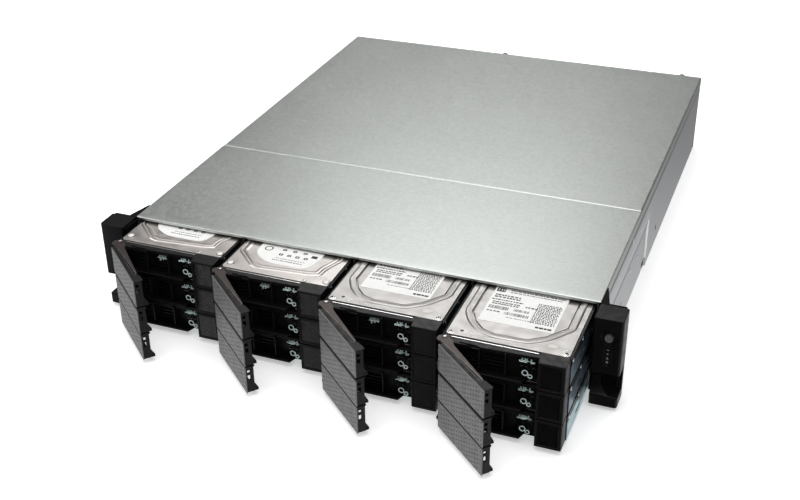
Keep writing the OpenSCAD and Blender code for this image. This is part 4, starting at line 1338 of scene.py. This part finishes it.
def make_rear_panel():
    """The perforated rear plate, the port shield and the covers of the card slots."""
    s = Shape()
    span = (PANEL_LO.y, PANEL_HI.y)
    holes = [rectangle((CAGE_LO.x + SHEET, CAGE_HI.x - SHEET), (2.4, 78)), rectangle(*PORT_WINDOW)]
    holes += [ring((x, SCREW_Z), 2.2, 20) for x in SCREWS]
    holes += honeycomb((-204, -59), (50, 76), 1.75, 4.5) + honeycomb((54, 94), (12, 74), 1.75, 4.5)
    s.box((PANEL_LO.x, PANEL_HI.x), (PANEL_LO.z, PANEL_HI.z), span, WALL, "y", holes)
    base = PORTS_LO.z
    ports = [rectangle((x[0] - 0.15, x[1] + 0.15), (base + z[0] - 0.15, base + z[1] + 0.15))
             for x, z in (*NETWORK, *USB, SCREEN, SERIAL)]
    ports += honeycomb((-200, -136), (27, 43), 1.0, 3.0) + honeycomb((-128, -60), (33, 43), 1.0, 3.0)
    s.box((-205.9, -56.1), (9.1, 44.9), (span[0] + 0.2, span[1] - 0.3), PORT, "y", ports)
    for i in range(4):
        x = -41.5 + 20.3 * i
        s.prism(rounded((x, x + 15), (13, 76), 1.6, 4), (span[1] - 0.2, span[1] + 0.5), CAGE, "y",
                honeycomb((x + 3, x + 12), (20, 66), 1.1, 3.2))
        s.box((x + 2, x + 13), (19, 67), (span[1] - 0.15, span[1] - 0.05), DARK, "y")
        head = ((2.9, 0), (2.9, 0.9), (2.1, 1.25), (0.3, 1.25))
        s.turned((x + 7.5, 71.5), [(r, span[1] + d) for r, d in head], BRIGHT, "y", 20)
    piece("rear_plate", s, "chassis", ["rear_panel"])


def make_ports():
    """Network, bus, screen and serial sockets, each in its tin shell."""
    s = Shape()
    base, rear = PORTS_LO.z, PORTS_HI.y

    def shell(x, z, depth, wall):
        lo, hi = base + z[0], base + z[1]
        inner = rounded((x[0] + wall, x[1] - wall), (lo + wall, hi - wall), 0.4, 3)
        s.box(x, (lo, hi), (rear - depth, rear), PORT, "y", [inner])
        s.prism(inner, (rear - depth, rear - depth + 2), DARK, "y")
        return x[0] + wall, x[1] - wall, lo + wall, hi - wall

    for x, z in NETWORK:
        left, right, low, high = shell(x, z, 21, 1.0)
        keyed = rectangle((left + 0.9, right - 0.9), (low + 1.6, high - 3.4))
        keyed[3:3] = [(right - 3.4, high - 3.4), (right - 3.4, high - 1.4), (left + 3.4, high - 1.4),
                      (left + 3.4, high - 3.4)]
        s.box((left, right), (low, high), (rear - 12, rear - 0.4), DARK, "y", [keyed])
        for k in range(8):
            u = (left + right) / 2 + 1.1 * (k - 3.5)
            s.box((u - 0.25, u + 0.25), (rear - 12, rear - 2.5), (low + 1.5, low + 1.9), GOLD)
        for u in (left + 0.4, right - 2.4):
            s.box((u, u + 2.0), (rear - 1, rear - 0.25), (high - 1.5, high - 0.3), LAMP)
    for x, z in USB:
        left, right, low, high = shell(x, z, 17, 0.5)
        middle = (low + high) / 2
        s.box((left + 0.9, right - 0.9), (rear - 15, rear - 1.4), (middle - 0.2, middle + 1.6), TONGUE)
        for k in range(4):
            u = left + 2.2 + 2.7 * k
            s.box((u, u + 1.1), (rear - 10, rear - 1.8), (middle - 0.32, middle - 0.15), GOLD)
    left, right, low, high = shell(*SCREEN, 14, 0.5)
    s.box((left + 1.6, right - 1.6), (rear - 12, rear - 1.2), (low + 2.2, low + 3.6), DARK)
    left, right, low, high = shell(*SERIAL, 14, 0.6)
    shape = [(left + 6, low + 1.2), (right - 6, low + 1.2), (right - 4.6, high - 1.2), (left + 4.6, high - 1.2)]
    shape = softened(shape, 1.4, 4)
    s.box((left, right), (low, high), (rear - 6, rear - 1.4), PORT, "y", [shape])
    s.prism(inset(shape, 0.7), (rear - 10, rear - 2.2), DARK, "y")
    for k in range(9):
        u = left + 8.4 + 1.75 * k
        pin = [(0.5, rear - 3), (0.5, rear - 1.7), (0.2, rear - 1.5)]
        s.turned((u, low + (3.4 if k % 2 else 6.0)), pin, GOLD, "y", 8)
    nut = [(1.9, rear - 2), (1.9, rear - 0.3), (1.4, rear - 0.1), (0.8, rear - 0.1), (0.8, rear - 1)]
    for u in (left + 2.3, right - 2.3):
        s.turned((u, (low + high) / 2), nut, BRIGHT, "y", 6)
    piece("rear_ports", s, "chassis", ["io_ports"])


def make_thumbscrews():
    """Knurled screws that hold the rear lid."""
    s = Shape()
    for x in SCREWS:
        s.turned((x, SCREW_Z), [(1.9, REAR - 8), (1.9, REAR + 0.6)], BRIGHT, "y", 20)
        s.turned((x, SCREW_Z), [(2.9, REAR + 0.02), (2.9, REAR + 1)], BRIGHT, "y", 28)
        teeth = ((4.5 - 0.3 * (k % 2), math.pi * k / 28) for k in range(56))
        knurl = [(x + r * math.cos(a), SCREW_Z + r * math.sin(a)) for r, a in teeth]
        neck = ring((x, SCREW_Z), 4.0, 56)
        s.loft([(neck, REAR + 0.5), (knurl, REAR + 1.1), (knurl, REAR + 7.2), (neck, REAR + 8)], NICKEL, "y")
        s.box((x - 3.3, x + 3.3), (SCREW_Z - 0.5, SCREW_Z + 0.5), (REAR + 7.9, REAR + 8.04), DARK, "y")
        s.box((x - 0.5, x + 0.5), (SCREW_Z - 3.3, SCREW_Z + 3.3), (REAR + 7.9, REAR + 8.03), DARK, "y")
    piece("lid_screws", s, "chassis", ["lid_thumbscrews"])


# ---------------------------------------------------------------- inside

def make_rotors():
    """Turning hubs with curved blades, which share one mesh."""
    lo, hi = mm_box("fan_rotor_2")
    rotor = Shape()
    hub = [(0.3, 0), (14.6, 0), (16.5, 1.8), (16.5, 22), (1.5, 22), (1.5, hi.y - lo.y)]
    rotor.turned((0, 0), hub, PLASTIC, "y", 48)
    rotor.turned((0, 0), [(9, -0.05), (9, 0.1), (0.3, 0.1)], STICKER, "y", 32)
    blades(rotor, (0, 0), 7, (16.2, 37.0), 22.0, (52, 38), 11.0, PLASTIC)
    wheel = rotor.mesh("fan_wheel")
    for i, x in enumerate(FAN_XS, 1):
        at = Matrix.Translation((x * MM, lo.y * MM, FAN_Z * MM))
        piece(f"fan_wheel_{i}", wheel, f"fan_{i}", [f"fan_rotor_{i}"], at)


def make_fans():
    """Square fan frames with their motor seats and struts."""
    s = Shape()
    near, far = FANS_LO.y, FANS_HI.y
    seat = [(1.55, far - 8), (17, far - 8), (17, far - 0.6), (16, far), (1.55, far)]
    for x in FAN_XS:
        outline = rounded((x - FAN_HALF, x + FAN_HALF), (FAN_Z - FAN_HALF, FAN_Z + FAN_HALF), 4, 5)
        bore = ring((x, FAN_Z), FAN_BORE, 64)
        corners = [ring((x + u, FAN_Z + v), 2.1, 16) for u in (-35.7, 35.7) for v in (-35.7, 35.7)]
        for y in ((near, near + 4), (far - 4, far)):
            s.prism(outline, y, PLASTIC, "y", [bore, *corners])
        s.prism(ring((x, FAN_Z), 39.9, 64), (near + 4, far - 4), PLASTIC, "y", [bore])
        s.turned((x, FAN_Z), seat, PLASTIC, "y", 48)
        for turn in (0, 90, 180, 270):
            s.prism(spoke((x, FAN_Z), turn, 15, 39, 1.5), (far - 4, far - 0.2), PLASTIC, "y")
    piece("fan_housings", s, "chassis", ["fan_frames"], bevel=0.3)


MEMORY_LO, MEMORY_HI = mm_box("memory_modules")
MEMORY_STEP = 9.5


def make_mainboard():
    """The mainboard on its posts, with sockets, capacitors and chips."""
    lo, hi = mm_box("mainboard")
    cooler_lo, cooler_hi = mm_box("heatsink")
    top = cooler_lo.z - 4.1
    s = Shape()
    s.prism(rounded((lo.x, hi.x), (lo.y, hi.y), 2.5, 4), (top - 1.6, top), BOARD)
    middle = ((lo.x + hi.x) / 2, (lo.y + hi.y) / 2)
    for x in (lo.x + 8, middle[0], hi.x - 8):
        for y in (lo.y + 8, middle[1], hi.y - 40):
            s.turned((x, y), [(3.0, SHEET), (3.0, top - 1.5)], BRIGHT, "z", 6)
            s.turned((x, y), [(2.8, top - 0.1), (2.8, top + 0.6), (1.8, top + 1.3), (0.3, top + 1.3)], BRIGHT, "z", 20)
    near, far = MEMORY_LO.y, MEMORY_HI.y
    for i in range(4):
        x = MEMORY_LO.x + 0.7 + MEMORY_STEP * i
        s.prism(rounded((x - 3, x + 3), (near - 4, far + 4.6), 0.8, 3), (top - 0.1, top + 5), DARK)
        for y in ((near - 4, near - 0.4), (far + 0.4, far + 4.6)):
            s.box((x - 2.4, x + 2.4), y, (top + 4, top + 14), STICKER)
    cx, cy = (cooler_lo.x + cooler_hi.x) / 2, (cooler_lo.y + cooler_hi.y) / 2
    s.prism(rounded((cx - 23, cx + 23), (cy - 23, cy + 23), 2, 4), (top - 0.1, top + 4), PORT)
    s.prism(rounded((30, 62), (lo.y + 95, lo.y + 127), 1.2, 3), (top - 0.1, top + 3), DARK)
    for i in range(4):
        x = -36 + 20.3 * i
        s.prism(rounded((x, x + 8), (lo.y + 160, lo.y + 245), 1, 3), (top - 0.1, top + 11), DARK, "z",
                [rectangle((x + 3.2, x + 4.8), (lo.y + 163, lo.y + 242))])
    can = [(4, top - 0.1), (4, top + 11.2), (3.5, top + 12), (0.3, top + 12)]
    for i in range(6):
        s.turned((-130 + 11 * i, lo.y + 141), can, SUPPLY, "z", 24)
    for i in range(14):
        x, y = lo.x + 30 + (i % 7) * 22, lo.y + 200 + (i // 7) * 24
        s.box((x, x + 7), (y, y + 5), (top - 0.1, top + 1.4), DARK)
    piece("mainboard_parts", s, "chassis", ["mainboard"], bevel=0.12, segments=1)


def make_memory():
    """Four memory modules with their chips and contacts."""
    s = Shape()
    near, far, low, high = MEMORY_LO.y, MEMORY_HI.y, MEMORY_LO.z, MEMORY_HI.z
    for i in range(4):
        x = MEMORY_LO.x + MEMORY_STEP * i
        s.box((near, far), (low, high), (x, x + 1.4), BOARD, "x")
        for k in range(9):
            y = near + 5 + 14.2 * k
            s.box((y, y + 9.5), (low + 9, low + 24), (x - 0.8, x + 2.2), DARK, "x")
        s.box((near + 2, far - 2), (low + 0.1, low + 3), (x - 0.05, x + 1.45), GOLD, "x")
    piece("memory_boards", s, "chassis", ["memory_modules"], bevel=0.1, segments=1)


def make_inside():
    """Finishes of the parts inside that keep their CAD shape, and the sockets for the drives."""
    for node, material in (("drive_cage", CAGE), ("backplane", BOARD), ("heatsink", FINS), ("psu_cage", CAGE)):
        repaint(node, material)
    sockets = Shape()
    rear = mm_box("backplane")[1].y - 1.6
    for c in COLUMNS:
        for r in ROWS:
            lo, hi = mm_box(f"tray_c{c}_r{r}")
            x = (lo.x + hi.x) / 2
            sockets.prism(rounded((x - 30.2, x + 3.2), (lo.z + 2.3, lo.z + 8.2), 0.8, 3), (rear - 5.8, rear), DARK, "y")
    piece("drive_sockets", sockets, "chassis", bevel=0.15)


for make in (place_camera, make_stage, make_covers, make_side_walls, make_recess_beads, make_fan_wall, make_studs,
             make_ears, make_button, make_window, make_bays, make_supplies, make_rear_panel, make_ports,
             make_thumbscrews, make_rotors, make_fans, make_mainboard, make_memory, make_inside):
    make()
